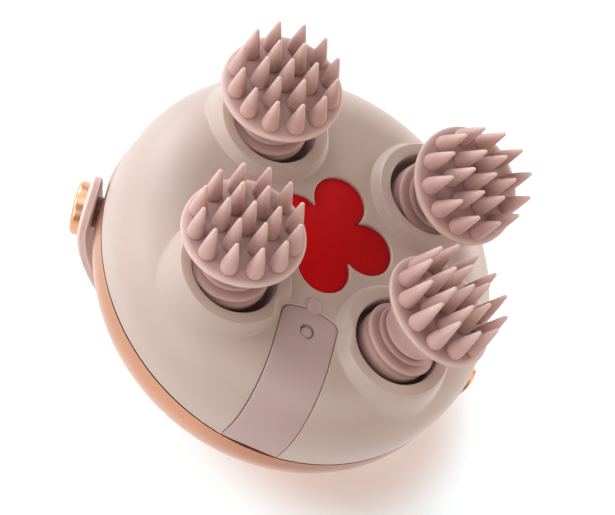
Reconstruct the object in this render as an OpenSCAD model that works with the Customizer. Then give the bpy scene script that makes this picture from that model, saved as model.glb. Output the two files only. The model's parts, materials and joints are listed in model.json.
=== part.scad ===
// Electric scalp massager: a round body that fits the palm, four leaning heads of soft
// spikes that turn in opposite pairs, a light window between them, a charging port under
// a hinged cover and a fixed hand strap over the back.
// Z is up: the heads point up and the strap's flat stands on z = 0. Every piece is drawn
// from the parting line of the two casings and lifted into place at the end of this file.

/* [Body] */
// Radius of the round body
body_r = 56; // [55:0.5:58]
// Straight side of the front casing above the parting line
front_side = 5; // [4.5:0.5:7]
// Radius of the front casing's shoulder
front_shoulder = 19; // [18:0.5:20]
// Rise of the front crown above its shoulder
front_crown = 1.2; // [0.8:0.1:2]
// Straight side of the rear casing below the parting line
rear_side = 3; // [3:0.25:4]
// Radius of the rear casing's shoulder
rear_shoulder = 18; // [17:0.5:19]
// Rise of the rear crown beyond its shoulder
rear_crown = 7; // [6.5:0.5:9]
// Thickness of both casings
wall = 2; // [1.8:0.1:2.2]
// Bevel along the parting line
seam_bevel = 0.3; // [0.1:0.1:0.5]

/* [Heads] */
// Distance between neighbouring heads
head_spacing = 48; // [47.5:0.25:49]
// Angle that each head leans from its shaft
head_lean = 13.75; // [12:0.25:15]
// Height from a well's floor to the point where its head leans over
head_pivot = 3.9; // [3.7:0.1:4.5]
// Radius of a cap's rim
cap_rim_r = 16.3; // [15.5:0.1:16.8]
// Height of a cap's rim above the lean point, along the head
cap_rim = 22.3; // [22:0.1:24]
// Thickness of a cap's rim
cap_edge = 1; // [0.8:0.1:1.4]
// Rise of a cap's top above its rim
cap_crown = 1.1; // [0.8:0.1:1.6]
// Radius of the hub's disc inside a cap
hub_disc_r = 12.2; // [11.5:0.1:12.4]
// Thickness of the hub's disc
hub_disc = 1.8; // [1.4:0.1:2]
// Radius of the hub's leaning post
hub_post_r = 5; // [4.6:0.1:5.4]

/* [Spikes] */
// Radius of a spike where it leaves the cap
spike_r = 2.3; // [2:0.1:2.4]
// Radius near a spike's tip
spike_tip_r = 0.7; // [0.5:0.1:0.9]
// Length of the middle spike
spike_l = 11.5; // [10.5:0.5:13]
// Radius of the inner ring of spikes
inner_ring_r = 6.5; // [6:0.1:7]
// Radius of the outer ring of spikes
outer_ring_r = 12.8; // [12.4:0.1:13]
// How far the outer tips stay below the middle one
outer_drop = 1.8; // [1:0.1:2.4]

/* [Wells] */
// Radius of the well that each head stands in
well_r = 12.2; // [11.8:0.1:12.4]
// Height of a well's rim above the front crown
well_rise = 1.5; // [1.2:0.1:2]
// Depth of a well below its rim
well_depth = 9.1; // [8.8:0.1:9.5]
// Thickness of a well's wall and floor
well_wall = 1.6; // [1.4:0.1:1.8]
// Width of the raised lip round a well
lip_w = 4.2; // [3.8:0.1:4.4]
// Radius of the lip's rounded crest
lip_crest = 1.2; // [0.9:0.1:1.4]
// Radius at the foot of a well's sloping skirt
skirt_r = 19.5; // [18.5:0.25:19.5]

/* [Light] */
// Radius of the window's four petals
petal_r = 7.5; // [7:0.1:7.8]
// Distance from the centre to a petal's centre
petal_d = 10.5; // [10.2:0.1:10.8]
// Depth of the window below the front crown
window_recess = 0.9; // [0.6:0.1:1.2]
// Thickness of the window's flange
window_flange = 1.4; // [1:0.1:1.8]
// Side of the square light board
light_board_w = 35; // [34:0.5:35.5]

/* [Port cover] */
// Width of the port cover
cover_w = 16.2; // [15:0.2:18]
// Thickness of the port cover
cover_t = 1.4; // [1.2:0.1:1.6]
// Distance from the centre to the cover's upper end
cover_end = 25.5; // [25:0.25:27]
// Radius of the cover's upper corners
cover_corner = 2.5; // [1.5:0.5:4]
// Width of the cover's finger tab
tab_w = 3.9; // [3.5:0.1:6]
// Reach of the tab beyond the cover's end
tab_reach = 3; // [2.5:0.25:4.5]
// Thickness of the tab above the casing
tab_t = 1; // [0.7:0.1:1.4]
// Radius of the cover's round hole
hole_r = 1.9; // [1.7:0.1:2.2]
// Distance from the centre to that hole
hole_d = 31.2; // [31:0.2:34]
// Radius of the cover's hinge pin
cover_pin_r = 0.4; // [0.3:0.05:0.5]
// Depth of the cover's hinge axis below the body's side
cover_hinge = 1.5; // [1.4:0.05:1.7]

/* [Drive] */
// Width of the gears' teeth
gear_face = 4; // [3.5:0.1:4.4]
// Radius of the heads' shafts
shaft_r = 2.5; // [2.2:0.1:2.8]
// Radius of the drive gears' axles
axle_r = 1.5; // [1.2:0.1:1.8]
// Thickness of the chassis plate
plate_t = 1.8; // [1.5:0.1:2.2]
// Radius of the motor
motor_r = 10.5; // [9.5:0.25:10.75]
// Length of the motor
motor_l = 17; // [14:0.5:18]

/* [Power] */
// Length of the battery
battery_l = 40; // [34:1:42]
// Width of the battery
battery_w = 30; // [26:1:34]
// Thickness of the battery
battery_t = 9; // [7:0.5:9.5]
// Thickness of the circuit boards
board_t = 1.6; // [1:0.2:1.6]
// Radius of the power button's cap
power_r = 8; // [6.5:0.25:8.5]
// Travel of the power button
power_travel = 0.8; // [0.6:0.1:0.9]

/* [Strap] */
// Width of the hand strap
strap_w = 17.5; // [16:0.5:19]
// Thickness of the hand strap
strap_t = 3; // [2:0.25:3.5]
// Distance from the parting line down to the strap's posts
post_drop = 12.5; // [12:0.25:13]
// Angle that the strap's posts point down
post_tilt = 20; // [18:0.5:22]
// Radius of a strap button
strap_button_r = 7.4; // [6.5:0.1:7.8]
// Thickness of a strap button
strap_button_t = 2.6; // [2:0.1:3]
// Radius of a strap post
post_r = 4.2; // [3.6:0.1:4.8]
// Radius of the pocket round a strap post
pocket_r = 10; // [9.5:0.1:10.1]
// Depth of the flat that the strap rests on
strap_flat = 0.35; // [0.2:0.05:0.6]

/* [Hidden] */
$fn = 96;

// Clearances
running = 0.05;   // round a turning shaft or pin
seat = 0.15;      // round a piece that is set in
moving = 0.3;     // between faces that move past each other
lap = 1;          // how far a cut runs past the face it opens

// Heights of the front, measured from the parting line
front_h = front_side + front_shoulder + front_crown;
rim_z = front_h + well_rise;
floor_z = rim_z - well_depth;
pivot_z = floor_z + head_pivot;
bush_boss = 3.6;
gear_gap = 1.4;
gear_z = floor_z - well_wall - bush_boss - gear_gap - gear_face;
plate_top = gear_z - gear_gap - 0.2;
plate_z = plate_top - plate_t;
bush_flange = 0.8;
seal_t = 1;
hub_z = floor_z + bush_flange + seal_t + moving;

// Gear train: tooth counts fix the ratios, and the head spacing fixes the module
drive_teeth = 28;
output_teeth = 24;
pinion_teeth = 14;
half_pitch = head_spacing / 2;
mesh_sum = (drive_teeth + output_teeth) / 2;
unit_pitch = (drive_teeth / 2 + sqrt(2 * pow(mesh_sum, 2) - pow(drive_teeth / 2, 2))) / 2;
gear_module = half_pitch / unit_pitch;
drive_x = gear_module * drive_teeth / 2;
motor_x = -drive_x - gear_module * (drive_teeth + pinion_teeth) / 2;
pressure_angle = 20;
addendum = 0.8;
dedendum = 1.05;
backlash = 0.35;  // degrees taken off each side of a 28-tooth gear's teeth
gear_hub = 1;

// Heads: which corner each stands in, which way it leans and how its cap is turned
corner = [[-1, 1], [-1, -1], [1, 1], [1, -1]];
lean_way = [186, 169, -49, 46];
cap_turn = [12, 8, 15, 37];
skirt_inner_r = 8;
skirt_hollow = 2;
skirt_drop = 0.4;
hub_socket_r = 5.2;
disc_z = cap_rim - hub_disc - 1;
flat_share = 0.7;  // height of a shaft's flat, as a share of its radius
shaft_top = pivot_z + 2.6;
shaft_foot = plate_z - 1;

// Screws and the posts that take them
screw_ring = body_r - 12.3;
screw_angles = [20, 160, 200, 340];
screw_r = 1.4;
screw_head_r = 2.6;
screw_depth = 12;
front_post_r = 3.6;
rear_post_r = 4.4;
screw_pocket_r = 3;
plate_r = screw_ring - front_post_r - 0.5;
hang_r = 33.5;
hang_post_r = 2.6;
hang_screw_r = 1.2;
hang_angles = [0, 90, 270];

// Light
cup_gap = half_pitch * sqrt(2) - well_r - well_wall;
window_z = front_h - window_recess;
seat_z = front_h - wall - 0.6;
flange_r = cup_gap - 0.5;
stud_r = 2;
stud_d = flange_r + stud_r + 0.4;
light_board_z = seat_z - window_flange - 3.6;

// Port cover and charging socket
groove_t = cover_t + 0.1;
pad_t = groove_t + 2.1;
hinge_y = -(body_r - cover_hinge);
bead_r = cover_hinge - seat;
hinge_z = cover_hinge;
tab_gap = 0.15;
peg_h = groove_t * 0.6;
socket_w = 8.94;
socket_h = 3.26;
socket_l = 7.4;
socket_z = plate_top + board_t + socket_h / 2;
charging_board_w = 16;
board_end = sqrt(pow(body_r - pad_t, 2) - pow(charging_board_w / 2, 2)) - 0.3;
charging_board_l = board_end - hang_r - hang_post_r - 0.8;
charging_screw_x = charging_board_w / 2 - 2;
charging_screw_y = charging_board_l - board_end - 3.6;
plate_tab_w = 14;
plate_land = 1.3;  // least width of plate round a hole
motor_screw_y = motor_r - 2.9;

// Rear
rear_h = rear_side + rear_shoulder + rear_crown;
back_z = -(rear_h - wall);
seal_w = 0.8;
seal_r = body_r - wall / 2 - seal_w / 2;
power_seat_r = power_r + 2.6;
power_seat_z = back_z + 0.6;
power_flange_r = power_r + 1.2;
power_flange = 0.8;
power_proud = 0.4;
power_stem_z = power_seat_z + 0.1 + power_flange + 0.2;
switch_z = power_stem_z + power_travel + 0.2;
switch_h = 1.4;
switch_board_z = switch_z + switch_h;
switch_board_t = 0.8;
switch_post = 8;
battery_x = 10;
battery_z = switch_board_z + switch_board_t + 0.3;
board_z = battery_z + battery_t + 3.8;
board_r = screw_ring - rear_post_r - 1.3;
standoffs = [[-12, 28], [-12, -28], [28, 20], [28, -20]];
standoff_r = 2.5;
cradle_wall = 1.4;

// Strap: one arc through both posts, square to them
post_x = body_r + 0.3;
strap_r = post_x / cos(post_tilt);
strap_z = strap_r * sin(post_tilt) - post_drop;
strap_low = strap_z - strap_r - strap_t / 2 + strap_flat;
pocket_floor = -5.4;  // from the strap's middle, along the post
pocket_skin = pocket_floor - wall;
pocket_boss_r = pocket_r + 1.6;
post_pin_r = 2.5;
post_bore_r = 1.5;
button_sink = 0.5;   // depth of the recess that each strap button seats in
post_sink = 0.1;     // and of the one that its post seats in
button_seat = strap_t / 2 - button_sink;
post_seat = strap_t / 2 - post_sink;
strap_end_r = strap_w / 2 + 0.02;  // rounds each end, just wide of the strap's sides
strap_end = 2 * asin(strap_w / 4 / strap_r);  // angle of the arc beyond each post

// ---- Curves and outlines ----

// Points of an arc round (cx, cy), from angle a0 to a1 in n steps
function arc(cx, cy, r, a0, a1, n) =
    [for (i = [0:n]) let (a = a0 + (a1 - a0) * i / n) [cx + r * cos(a), cy + r * sin(a)]];

// Half section of a shell: bevelled straight side, round shoulder and shallow crown.
// inset moves the whole section inwards, or outwards where it is below zero.
function shell_section(side, shoulder, crown, inset, bevel) =
    let (
        c = body_r - shoulder,
        crown_r = shoulder + (c * c + crown * crown) / (2 * crown),
        slope = asin(c / (crown_r - shoulder)),
        top = side + shoulder + crown,
        step = slope / 4
    )
    concat(
        [[0, 0], [body_r - inset - bevel, 0]],
        bevel > 0 ? [[body_r - inset, bevel]] : [],
        arc(c, side, shoulder - inset, 0, 90 - slope, 12),
        arc(0, top - crown_r, crown_r - inset, 90 - slope + step, 90, 3)
    );

module front_dome(inset = 0, bevel = 0)
    rotate_extrude($fn = 180)
        polygon(shell_section(front_side, front_shoulder, front_crown, inset, bevel));

module rear_dome(inset = 0, bevel = 0)
    mirror([0, 0, 1])
        rotate_extrude($fn = 180)
            polygon(shell_section(rear_side, rear_shoulder, rear_crown, inset, bevel));

module ring(outer, inner, h)
    difference() {
        cylinder(r = outer, h = h);
        translate([0, 0, -lap]) cylinder(r = inner, h = h + 2 * lap);
    }

module disc_at(x, y, z, r, h) translate([x, y, z]) cylinder(r = r, h = h);

// Round piece with one flat, for a shaft and for the bores that it drives
module d_rod(r, h)
    linear_extrude(h)
        difference() {
            circle(r);
            translate([r * flat_share, -r]) square([r, 2 * r]);
        }

// Angle that an involute has turned at radius r
function involute_turn(base_r, r) =
    let (p = sqrt(max(0, pow(r / base_r, 2) - 1))) p * 180 / PI - atan(p);

// Outline of a spur gear with one tooth centred on +X
function gear_outline(teeth) =
    let (
        pitch_r = gear_module * teeth / 2,
        base_r = pitch_r * cos(pressure_angle),
        tip_r = pitch_r + addendum * gear_module,
        root_r = pitch_r - dedendum * gear_module,
        half = 90 / teeth - backlash * drive_teeth / teeth + involute_turn(base_r, pitch_r),
        low_r = max(base_r, root_r),
        flank = [for (i = [0:4]) let (r = low_r + (tip_r - low_r) * i / 4)
            [r, half - involute_turn(base_r, r)]],
        side = concat(root_r < low_r ? [[root_r, half]] : [], flank),
        last = len(side) - 1
    )
    [for (t = [0:teeth - 1], s = [-1, 1], i = [0:last])
        let (p = side[s < 0 ? i : last - i], a = 360 * t / teeth + s * p[1])
            [p[0] * cos(a), p[0] * sin(a)]];

module gear(teeth, turn) rotate([0, 0, turn]) linear_extrude(gear_face) polygon(gear_outline(teeth));

// Turn that puts a gear in mesh with one turned by 'turn', seen from it in direction 'way'
function mesh_turn(turn, way, teeth, own_teeth) =
    way + 180 + 180 / own_teeth - (turn - way) * teeth / own_teeth;

function head_x(i) = corner[i][0] * half_pitch;
function head_y(i) = corner[i][1] * half_pitch;
function drive_at(i) = corner[i][0] * drive_x;
right_turn = mesh_turn(0, 0, drive_teeth, drive_teeth);
function drive_turn(i) = corner[i][0] < 0 ? 0 : right_turn;
function head_way(i) = atan2(head_y(i), head_x(i) - drive_at(i));

// ---- Casings ----

// Solid drum round a well: flat land, rounded lip and sloping skirt
module well_drum() {
    lip_r = well_r + lip_w;
    crest_z = rim_z - lip_crest + 0.4;
    rotate_extrude()
        polygon(concat(
            [[0, floor_z - 6.6], [skirt_r, floor_z - 6.6], [lip_r, crest_z - lip_crest]],
            arc(lip_r - lip_crest, crest_z, lip_crest, 0, 90, 5),
            [[well_r + lip_w / 3, rim_z], [0, rim_z]]
        ));
}

module window_outline(grow) {
    r = petal_r + grow;
    cusp = (petal_d + sqrt(max(0, 2 * r * r - petal_d * petal_d))) / 2;
    for (a = [0:90:270]) rotate(a) translate([petal_d, 0]) circle(r);
    square(2 * cusp, center = true);
}

// Cover's outline: straight sides down past the rim and two rounded upper corners
module cover_outline(grow) {
    half = cover_w / 2 + grow;
    top = grow - cover_end;
    reach = body_r + lap;
    translate([-half, -reach]) square([2 * half, reach + top - cover_corner]);
    translate([cover_corner - half, -reach]) square([2 * (half - cover_corner), reach + top]);
    for (s = [-1, 1])
        translate([s * (half - cover_corner), top - cover_corner]) circle(cover_corner);
}

module along_hinge(r, half_l)
    translate([-half_l, hinge_y, hinge_z]) rotate([0, 90, 0]) cylinder(r = r, h = 2 * half_l);

module socket_slot(grow, y0, y1) {
    r = socket_h / 2 + grow;
    side = socket_w / 2 - socket_h / 2;
    translate([0, y1, socket_z]) rotate([90, 0, 0]) linear_extrude(y1 - y0) {
        square([2 * side, 2 * r], center = true);
        for (s = [-1, 1]) translate([s * side, 0]) circle(r);
    }
}

// Peg that the cover's hole drops over, sloped where the cover swings away
module cover_peg()
    intersection() {
        disc_at(0, -hole_d, 0, hole_r - seat - 0.1, front_h);
        difference() {
            front_dome(groove_t - peg_h);
            front_dome(pad_t - 1);
        }
        translate([0, -hole_d + hole_r - 0.3, front_h - groove_t - 0.9])
            rotate([45, 0, 0]) translate([-hole_r, -20, -20]) cube([2 * hole_r, 20, 40]);
    }

// What stands inside the front casing: everything here stays solid
module front_inside() {
    for (i = [0:3])
        disc_at(head_x(i), head_y(i), floor_z - well_wall, well_r + well_wall, front_h);
    for (i = [0:3])
        disc_at(head_x(i), head_y(i), floor_z - well_wall - bush_boss, 6.8, front_h);
    for (a = screw_angles) rotate(a) disc_at(screw_ring, 0, -lap, front_post_r, front_h);
    for (a = hang_angles) rotate(a) disc_at(hang_r, 0, plate_top, hang_post_r, front_h);
    for (a = [0:90:270]) rotate(a) disc_at(stud_d, 0, light_board_z + board_t, stud_r, front_h);
    disc_at(0, 0, seat_z, flange_r, front_h);
    difference() {
        translate([-cover_w / 2 - 1.8, -body_r - lap, -lap])
            cube([cover_w + 3.6, body_r - cover_end + lap + 1.5, front_h + lap]);
        front_dome(pad_t);
    }
}

module front_casing()
    color([0.83, 0.72, 0.65])
    union() {
        difference() {
            union() {
                front_dome(0, seam_bevel);
                for (i = [0:3]) translate([head_x(i), head_y(i), 0]) well_drum();
            }
            difference() {
                front_dome(wall);
                front_inside();
            }
            translate([0, 0, -lap]) cylinder(r = body_r - pad_t - lap, h = lap);
            for (i = [0:3]) {
                disc_at(head_x(i), head_y(i), floor_z, well_r, well_depth + lap);
                disc_at(head_x(i), head_y(i), 0, shaft_r + 2, floor_z + lap);
            }
            for (a = screw_angles) rotate(a) disc_at(screw_ring, 0, -lap, screw_r, 9 + lap);
            for (a = hang_angles) rotate(a) disc_at(hang_r, 0, 0, hang_screw_r, plate_top + 7);
            for (a = [0:90:270])
                rotate(a) disc_at(stud_d, 0, 0, 0.9, light_board_z + board_t + 3.4);
            translate([0, 0, seat_z - lap]) linear_extrude(front_h) window_outline(seat);
            difference() {
                translate([0, 0, hinge_z]) linear_extrude(front_h) cover_outline(seat);
                front_dome(groove_t);
            }
            along_hinge(cover_hinge + 0.1, cover_w / 2 + seat);
            translate([-cover_w / 2 - seat, -body_r - lap, -lap])
                cube([cover_w + 2 * seat, body_r + lap + hinge_y, lap + hinge_z + 0.2]);
            along_hinge(cover_pin_r, cover_w / 2 + 2);
            socket_slot(0.2, -body_r, -body_r + pad_t + 2);
        }
        cover_peg();
    }

module at_post(side)
    mirror([side < 0 ? 1 : 0, 0, 0])
        translate([post_x, 0, -post_drop])
            rotate([0, 90 + post_tilt, 0])
                children();

// What stands inside the rear casing
module rear_inside() {
    for (a = screw_angles) rotate(a) disc_at(screw_ring, 0, -rear_h, rear_post_r, rear_h + lap);
    for (p = standoffs) disc_at(p[0], p[1], -rear_h, standoff_r, rear_h + board_z);
    for (x = [-1, 1], y = [-1, 1])
        disc_at(x * switch_post, y * switch_post, -rear_h, 1.4, rear_h + switch_board_z);
    disc_at(0, 0, -rear_h, power_seat_r, rear_h + power_seat_z);
    for (side = [-1, 1])
        at_post(side) translate([0, 0, pocket_skin]) cylinder(r = pocket_boss_r, h = 20);
    battery_cradle();
}

module battery_cradle() {
    l = battery_l + 2 * seat;
    w = battery_w + 2 * seat;
    low = battery_x - l / 2;
    for (s = [-1, 1]) {
        translate([low, s * (w + cradle_wall) / 2 - cradle_wall / 2, -rear_h])
            cube([l, cradle_wall, rear_h + battery_z + battery_t * 0.5]);
        translate([low, s * (w - 2.6) / 2 - 1.3, -rear_h])
            cube([l, 2.6, rear_h + battery_z]);
    }
    for (x = [low - cradle_wall, low + l])
        translate([x, -w / 2 - cradle_wall, -rear_h])
            cube([cradle_wall, w + 2 * cradle_wall, rear_h + battery_z + battery_t * 0.5]);
}

module rear_casing()
    color([0.85, 0.60, 0.47])
    difference() {
        rear_dome(0, seam_bevel);
        difference() {
            rear_dome(wall);
            rear_inside();
        }
        translate([0, 0, -seal_w]) ring(seal_r + seal_w, seal_r, seal_w + lap);
        for (a = screw_angles) rotate(a) {
            disc_at(screw_ring, 0, -rear_h, screw_r, rear_h + lap);
            disc_at(screw_ring, 0, -rear_h - lap, screw_pocket_r, rear_h + lap - screw_depth);
        }
        for (p = standoffs) disc_at(p[0], p[1], board_z - 5, 1, 5 + lap);
        disc_at(0, 0, -rear_h - lap, power_r + 0.2, rear_h);
        for (side = [-1, 1]) at_post(side) {
            translate([0, 0, pocket_floor]) cylinder(r = pocket_r, h = 20);
            translate([0, 0, pocket_skin - lap]) cylinder(r = post_bore_r, h = 20);
        }
    }

module casing_seal()
    color([0.2, 0.18, 0.18])
    translate([0, 0, -seal_w]) ring(seal_r + seal_w, seal_r, seal_w);

// Screw along +Z with its head under the origin
module screw(r, l, head_r, head) {
    cylinder(r = r, h = l, $fn = 32);
    translate([0, 0, -head])
        difference() {
            cylinder(r = head_r, h = head, $fn = 48);
            translate([0, 0, -lap]) cylinder(r = head_r * 0.45, h = head * 0.6 + lap, $fn = 6);
        }
}

module casing_screws()
    color([0.7, 0.7, 0.72])
    for (a = screw_angles)
        rotate(a) translate([screw_ring, 0, -screw_depth])
            screw(screw_r, screw_depth + 8, screw_head_r, 1.8);

// ---- Light ----

module light_window()
    color([0.65, 0.03, 0.05])
    union() {
        disc_at(0, 0, seat_z - window_flange, flange_r, window_flange);
        translate([0, 0, seat_z - window_flange])
            linear_extrude(window_z - seat_z + window_flange) window_outline(0);
    }

module light_board()
    color([0.1, 0.35, 0.2])
    difference() {
        translate([0, 0, light_board_z]) rotate(45) linear_extrude(board_t)
            square(light_board_w, center = true);
        for (a = [0:90:270]) rotate(a) disc_at(stud_d, 0, light_board_z - lap, 0.9, board_t + 2 * lap);
    }

module light_leds() {
    spots = concat([[0, 0]], [for (a = [0:90:270]) [petal_d * cos(a), petal_d * sin(a)]]);
    color([0.95, 0.9, 0.75])
    for (p = spots)
        translate([p[0], p[1], light_board_z + board_t + 0.4]) cube([3, 3, 0.8], center = true);
}

module light_screws()
    color([0.7, 0.7, 0.72])
    for (a = [0:90:270])
        rotate(a) translate([stud_d, 0, light_board_z]) screw(0.9, board_t + 3, 1.7, 1);

// ---- Port cover and charging socket ----

module port_cover()
    color([0.72, 0.60, 0.57])
    difference() {
        union() {
            intersection() {
                translate([0, 0, hinge_z]) linear_extrude(front_h) cover_outline(0);
                difference() {
                    front_dome();
                    front_dome(cover_t);
                }
            }
            intersection() {
                along_hinge(bead_r, cover_w / 2);
                front_dome();
            }
            cover_tab();
        }
        disc_at(0, -hole_d, 0, hole_r, front_h + lap);
        along_hinge(cover_pin_r + running, cover_w / 2 + lap);
    }

// Finger tab: a rounded tongue that lies just above the casing beyond the cover's end
module cover_tab()
    intersection() {
        linear_extrude(front_h + 2 * tab_t) {
            tip = cover_end - tab_reach;
            translate([-tab_w / 2, -cover_end - 1.5])
                square([tab_w, tab_reach + 1.5 - tab_w / 4]);
            translate([-tab_w / 4, -cover_end - 1.5]) square([tab_w / 2, tab_reach + 1.5]);
            for (s = [-1, 1])
                translate([s * tab_w / 4, -tip - tab_w / 4]) circle(tab_w / 4);
        }
        difference() {
            front_dome(-tab_t - tab_gap);
            difference() {
                front_dome(-tab_gap);
                translate([-tab_w, -body_r, 0]) cube([2 * tab_w, body_r - cover_end - 0.2, front_h + lap]);
            }
            front_dome(cover_t / 2);
        }
    }

module cover_pin()
    color([0.75, 0.75, 0.77])
    along_hinge(cover_pin_r, cover_w / 2 + 2);

module charging_socket()
    color([0.78, 0.78, 0.8]) {
        difference() {
            socket_slot(0, -body_r + pad_t - 0.9, -body_r + pad_t - 0.9 + socket_l);
            socket_slot(-0.35, -body_r, -body_r + pad_t - 1.9 + socket_l);
        }
        translate([-3.3, -body_r + pad_t, socket_z - 0.35]) cube([6.6, socket_l - 1.5, 0.7]);
    }

module charging_board()
    color([0.1, 0.35, 0.2])
    translate([0, 0, plate_top])
        difference() {
            translate([-charging_board_w / 2, -board_end, 0])
                cube([charging_board_w, charging_board_l, board_t]);
            for (s = [-1, 1])
                disc_at(s * charging_screw_x, charging_screw_y, -lap, 0.8, board_t + 2 * lap);
        }

// ---- Heads ----

module at_head(i) translate([head_x(i), head_y(i), 0]) children();

module leaned(i)
    at_head(i) translate([0, 0, pivot_z]) rotate([0, 0, lean_way[i]]) rotate([0, head_lean, 0])
        children();

// Pointed spike with a rounded tip, along +Z from a little below the cap's top
module spike(l)
    rotate_extrude($fn = 24)
        polygon(concat(
            [[0, -1.2], [spike_r, -1.2]],
            [for (i = [0:5]) let (t = i / 5)
                [spike_tip_r + (spike_r - spike_tip_r) * (1 - pow(t, 1.6)), t * (l - spike_tip_r)]],
            arc(0, l - spike_tip_r, spike_tip_r, 30, 90, 2)
        ));

// Height of a cap's top at radius r
function cap_top(r) = cap_rim + cap_edge + cap_crown * (1 - pow(r / cap_rim_r, 2));

// Section of a cap: collar, groove, ring, groove and a flare out to the rim
function cap_section() =
    let (
        collar_r = well_r - 2,
        flare_z = 10.1,
        flare_r = 7.9
    )
    concat(
        [[0, -skirt_drop], [collar_r - 0.5, -skirt_drop]],
        arc(collar_r - 1.6, 4.4, 1.6, 0, 80, 4),
        [[8.2, 6.8], [8.5, 7.4], [8.5, 9.2]],
        [for (i = [0:7]) let (t = i / 7)
            [flare_r + (cap_rim_r - flare_r) * pow(t, 1.6), flare_z + (cap_rim - flare_z) * t]],
        [[cap_rim_r, cap_rim + cap_edge * 0.7], [cap_rim_r - cap_edge * 0.4, cap_rim + cap_edge]],
        [for (r = [12, 9, 6, 3, 0]) [r, cap_top(r)]]
    );

module head_cap(i)
    color([0.86, 0.66, 0.64])
    leaned(i)
        difference() {
            rotate(cap_turn[i] - lean_way[i])
                union() {
                    rotate_extrude() polygon(cap_section());
                    translate([0, 0, cap_top(0)]) spike(spike_l);
                    for (a = [0:60:300])
                        rotate(a) translate([inner_ring_r, 0, cap_top(inner_ring_r)])
                            spike(spike_l - cap_top(inner_ring_r) + cap_top(0) - outer_drop / 4);
                    for (a = [15:30:345])
                        rotate(a) translate([outer_ring_r, 0, cap_top(outer_ring_r)])
                            spike(spike_l - cap_top(outer_ring_r) + cap_top(0) - outer_drop);
                }
            translate([0, 0, -lap]) cylinder(r = skirt_inner_r, h = lap + skirt_hollow);
            cylinder(r = hub_post_r, h = disc_z + 0.5);
            translate([0, 0, disc_z]) cylinder(r = hub_disc_r, h = hub_disc);
        }

module head_hub(i)
    color([0.3, 0.3, 0.32])
    difference() {
        union() {
            at_head(i) translate([0, 0, hub_z]) cylinder(r = hub_socket_r, h = pivot_z - hub_z);
            leaned(i) {
                cylinder(r = hub_post_r, h = disc_z + 0.5);
                translate([0, 0, disc_z]) cylinder(r = hub_disc_r, h = hub_disc);
            }
        }
        at_head(i) translate([0, 0, hub_z - lap]) d_rod(shaft_r, shaft_top - hub_z + lap);
    }

module head_shaft(i)
    color([0.78, 0.78, 0.8])
    at_head(i) {
        translate([0, 0, shaft_foot]) cylinder(r = shaft_r, h = gear_z - gear_hub - shaft_foot);
        translate([0, 0, gear_z - gear_hub]) d_rod(shaft_r, gear_face + gear_hub);
        translate([0, 0, gear_z + gear_face]) cylinder(r = shaft_r, h = hub_z - gear_z - gear_face);
        translate([0, 0, hub_z]) d_rod(shaft_r, shaft_top - hub_z);
    }

module head_gear(i)
    color([0.93, 0.92, 0.88])
    at_head(i)
        difference() {
            union() {
                translate([0, 0, gear_z])
                    gear(output_teeth, mesh_turn(drive_turn(i), head_way(i), drive_teeth, output_teeth));
                translate([0, 0, gear_z - gear_hub]) cylinder(r = 5, h = gear_hub + lap);
            }
            translate([0, 0, gear_z - gear_hub - lap]) d_rod(shaft_r, gear_face + gear_hub + 2 * lap);
        }

module upper_bushes()
    color([0.8, 0.62, 0.3])
    for (i = [0:3]) at_head(i)
        difference() {
            union() {
                disc_at(0, 0, floor_z - well_wall - bush_boss, shaft_r + 2, well_wall + bush_boss);
                disc_at(0, 0, floor_z, shaft_r + 3.5, bush_flange);
            }
            cylinder(r = shaft_r + running, h = front_h);
        }

module lower_bushes()
    color([0.8, 0.62, 0.3])
    for (i = [0:3]) at_head(i)
        difference() {
            union() {
                disc_at(0, 0, plate_z, shaft_r + 1.5, plate_t);
                disc_at(0, 0, plate_z - 0.6, shaft_r + 2.7, 0.6);
            }
            translate([0, 0, plate_z - 2]) cylinder(r = shaft_r + running, h = plate_t + 4);
        }

module shaft_seals()
    color([0.15, 0.15, 0.16])
    for (i = [0:3]) at_head(i)
        translate([0, 0, floor_z + bush_flange]) ring(shaft_r + 3, shaft_r + running, seal_t);

// ---- Drive ----

module chassis_plate()
    color([0.75, 0.76, 0.78])
    difference() {
        translate([0, 0, plate_z])
            linear_extrude(plate_t) {
                circle(plate_r);
                translate([-plate_tab_w / 2, -board_end]) square([plate_tab_w, board_end - hang_r]);
                for (i = [0:3]) translate([head_x(i), head_y(i)]) circle(shaft_r + 1.5 + plate_land);
                for (a = hang_angles) rotate(a) translate([hang_r, 0]) circle(hang_screw_r + plate_land);
                for (s = [-1, 1]) translate([motor_x, s * motor_screw_y]) circle(1 + plate_land);
            }
        for (i = [0:3]) at_head(i) disc_at(0, 0, plate_z - lap, shaft_r + 1.5, plate_t + 2 * lap);
        for (s = [-1, 1]) disc_at(s * drive_x, 0, plate_z - lap, axle_r, plate_t + 2 * lap);
        for (a = hang_angles) rotate(a) disc_at(hang_r, 0, plate_z - lap, hang_screw_r, plate_t + 2 * lap);
        for (s = [-1, 1])
            disc_at(s * charging_screw_x, charging_screw_y, plate_z - lap, 0.8, plate_t + 2 * lap);
        disc_at(motor_x, 0, plate_z - lap, 3.2, plate_t + 2 * lap);
        for (s = [-1, 1]) disc_at(motor_x, s * motor_screw_y, plate_z - lap, 1, plate_t + 2 * lap);
        for (y = [-1, 1]) disc_at(0, y * 20, plate_z - lap, 6, plate_t + 2 * lap);
    }

module plate_screws()
    color([0.7, 0.7, 0.72])
    for (a = hang_angles)
        rotate(a) translate([hang_r, 0, plate_z]) screw(hang_screw_r, plate_t + 6, 2.4, 1.4);

module gear_axles()
    color([0.78, 0.78, 0.8])
    for (s = [-1, 1]) {
        disc_at(s * drive_x, 0, plate_z, axle_r, gear_z + gear_face + 1 - plate_z);
        disc_at(s * drive_x, 0, gear_z + gear_face + moving, axle_r + 1.2, 0.7);
    }

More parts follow.
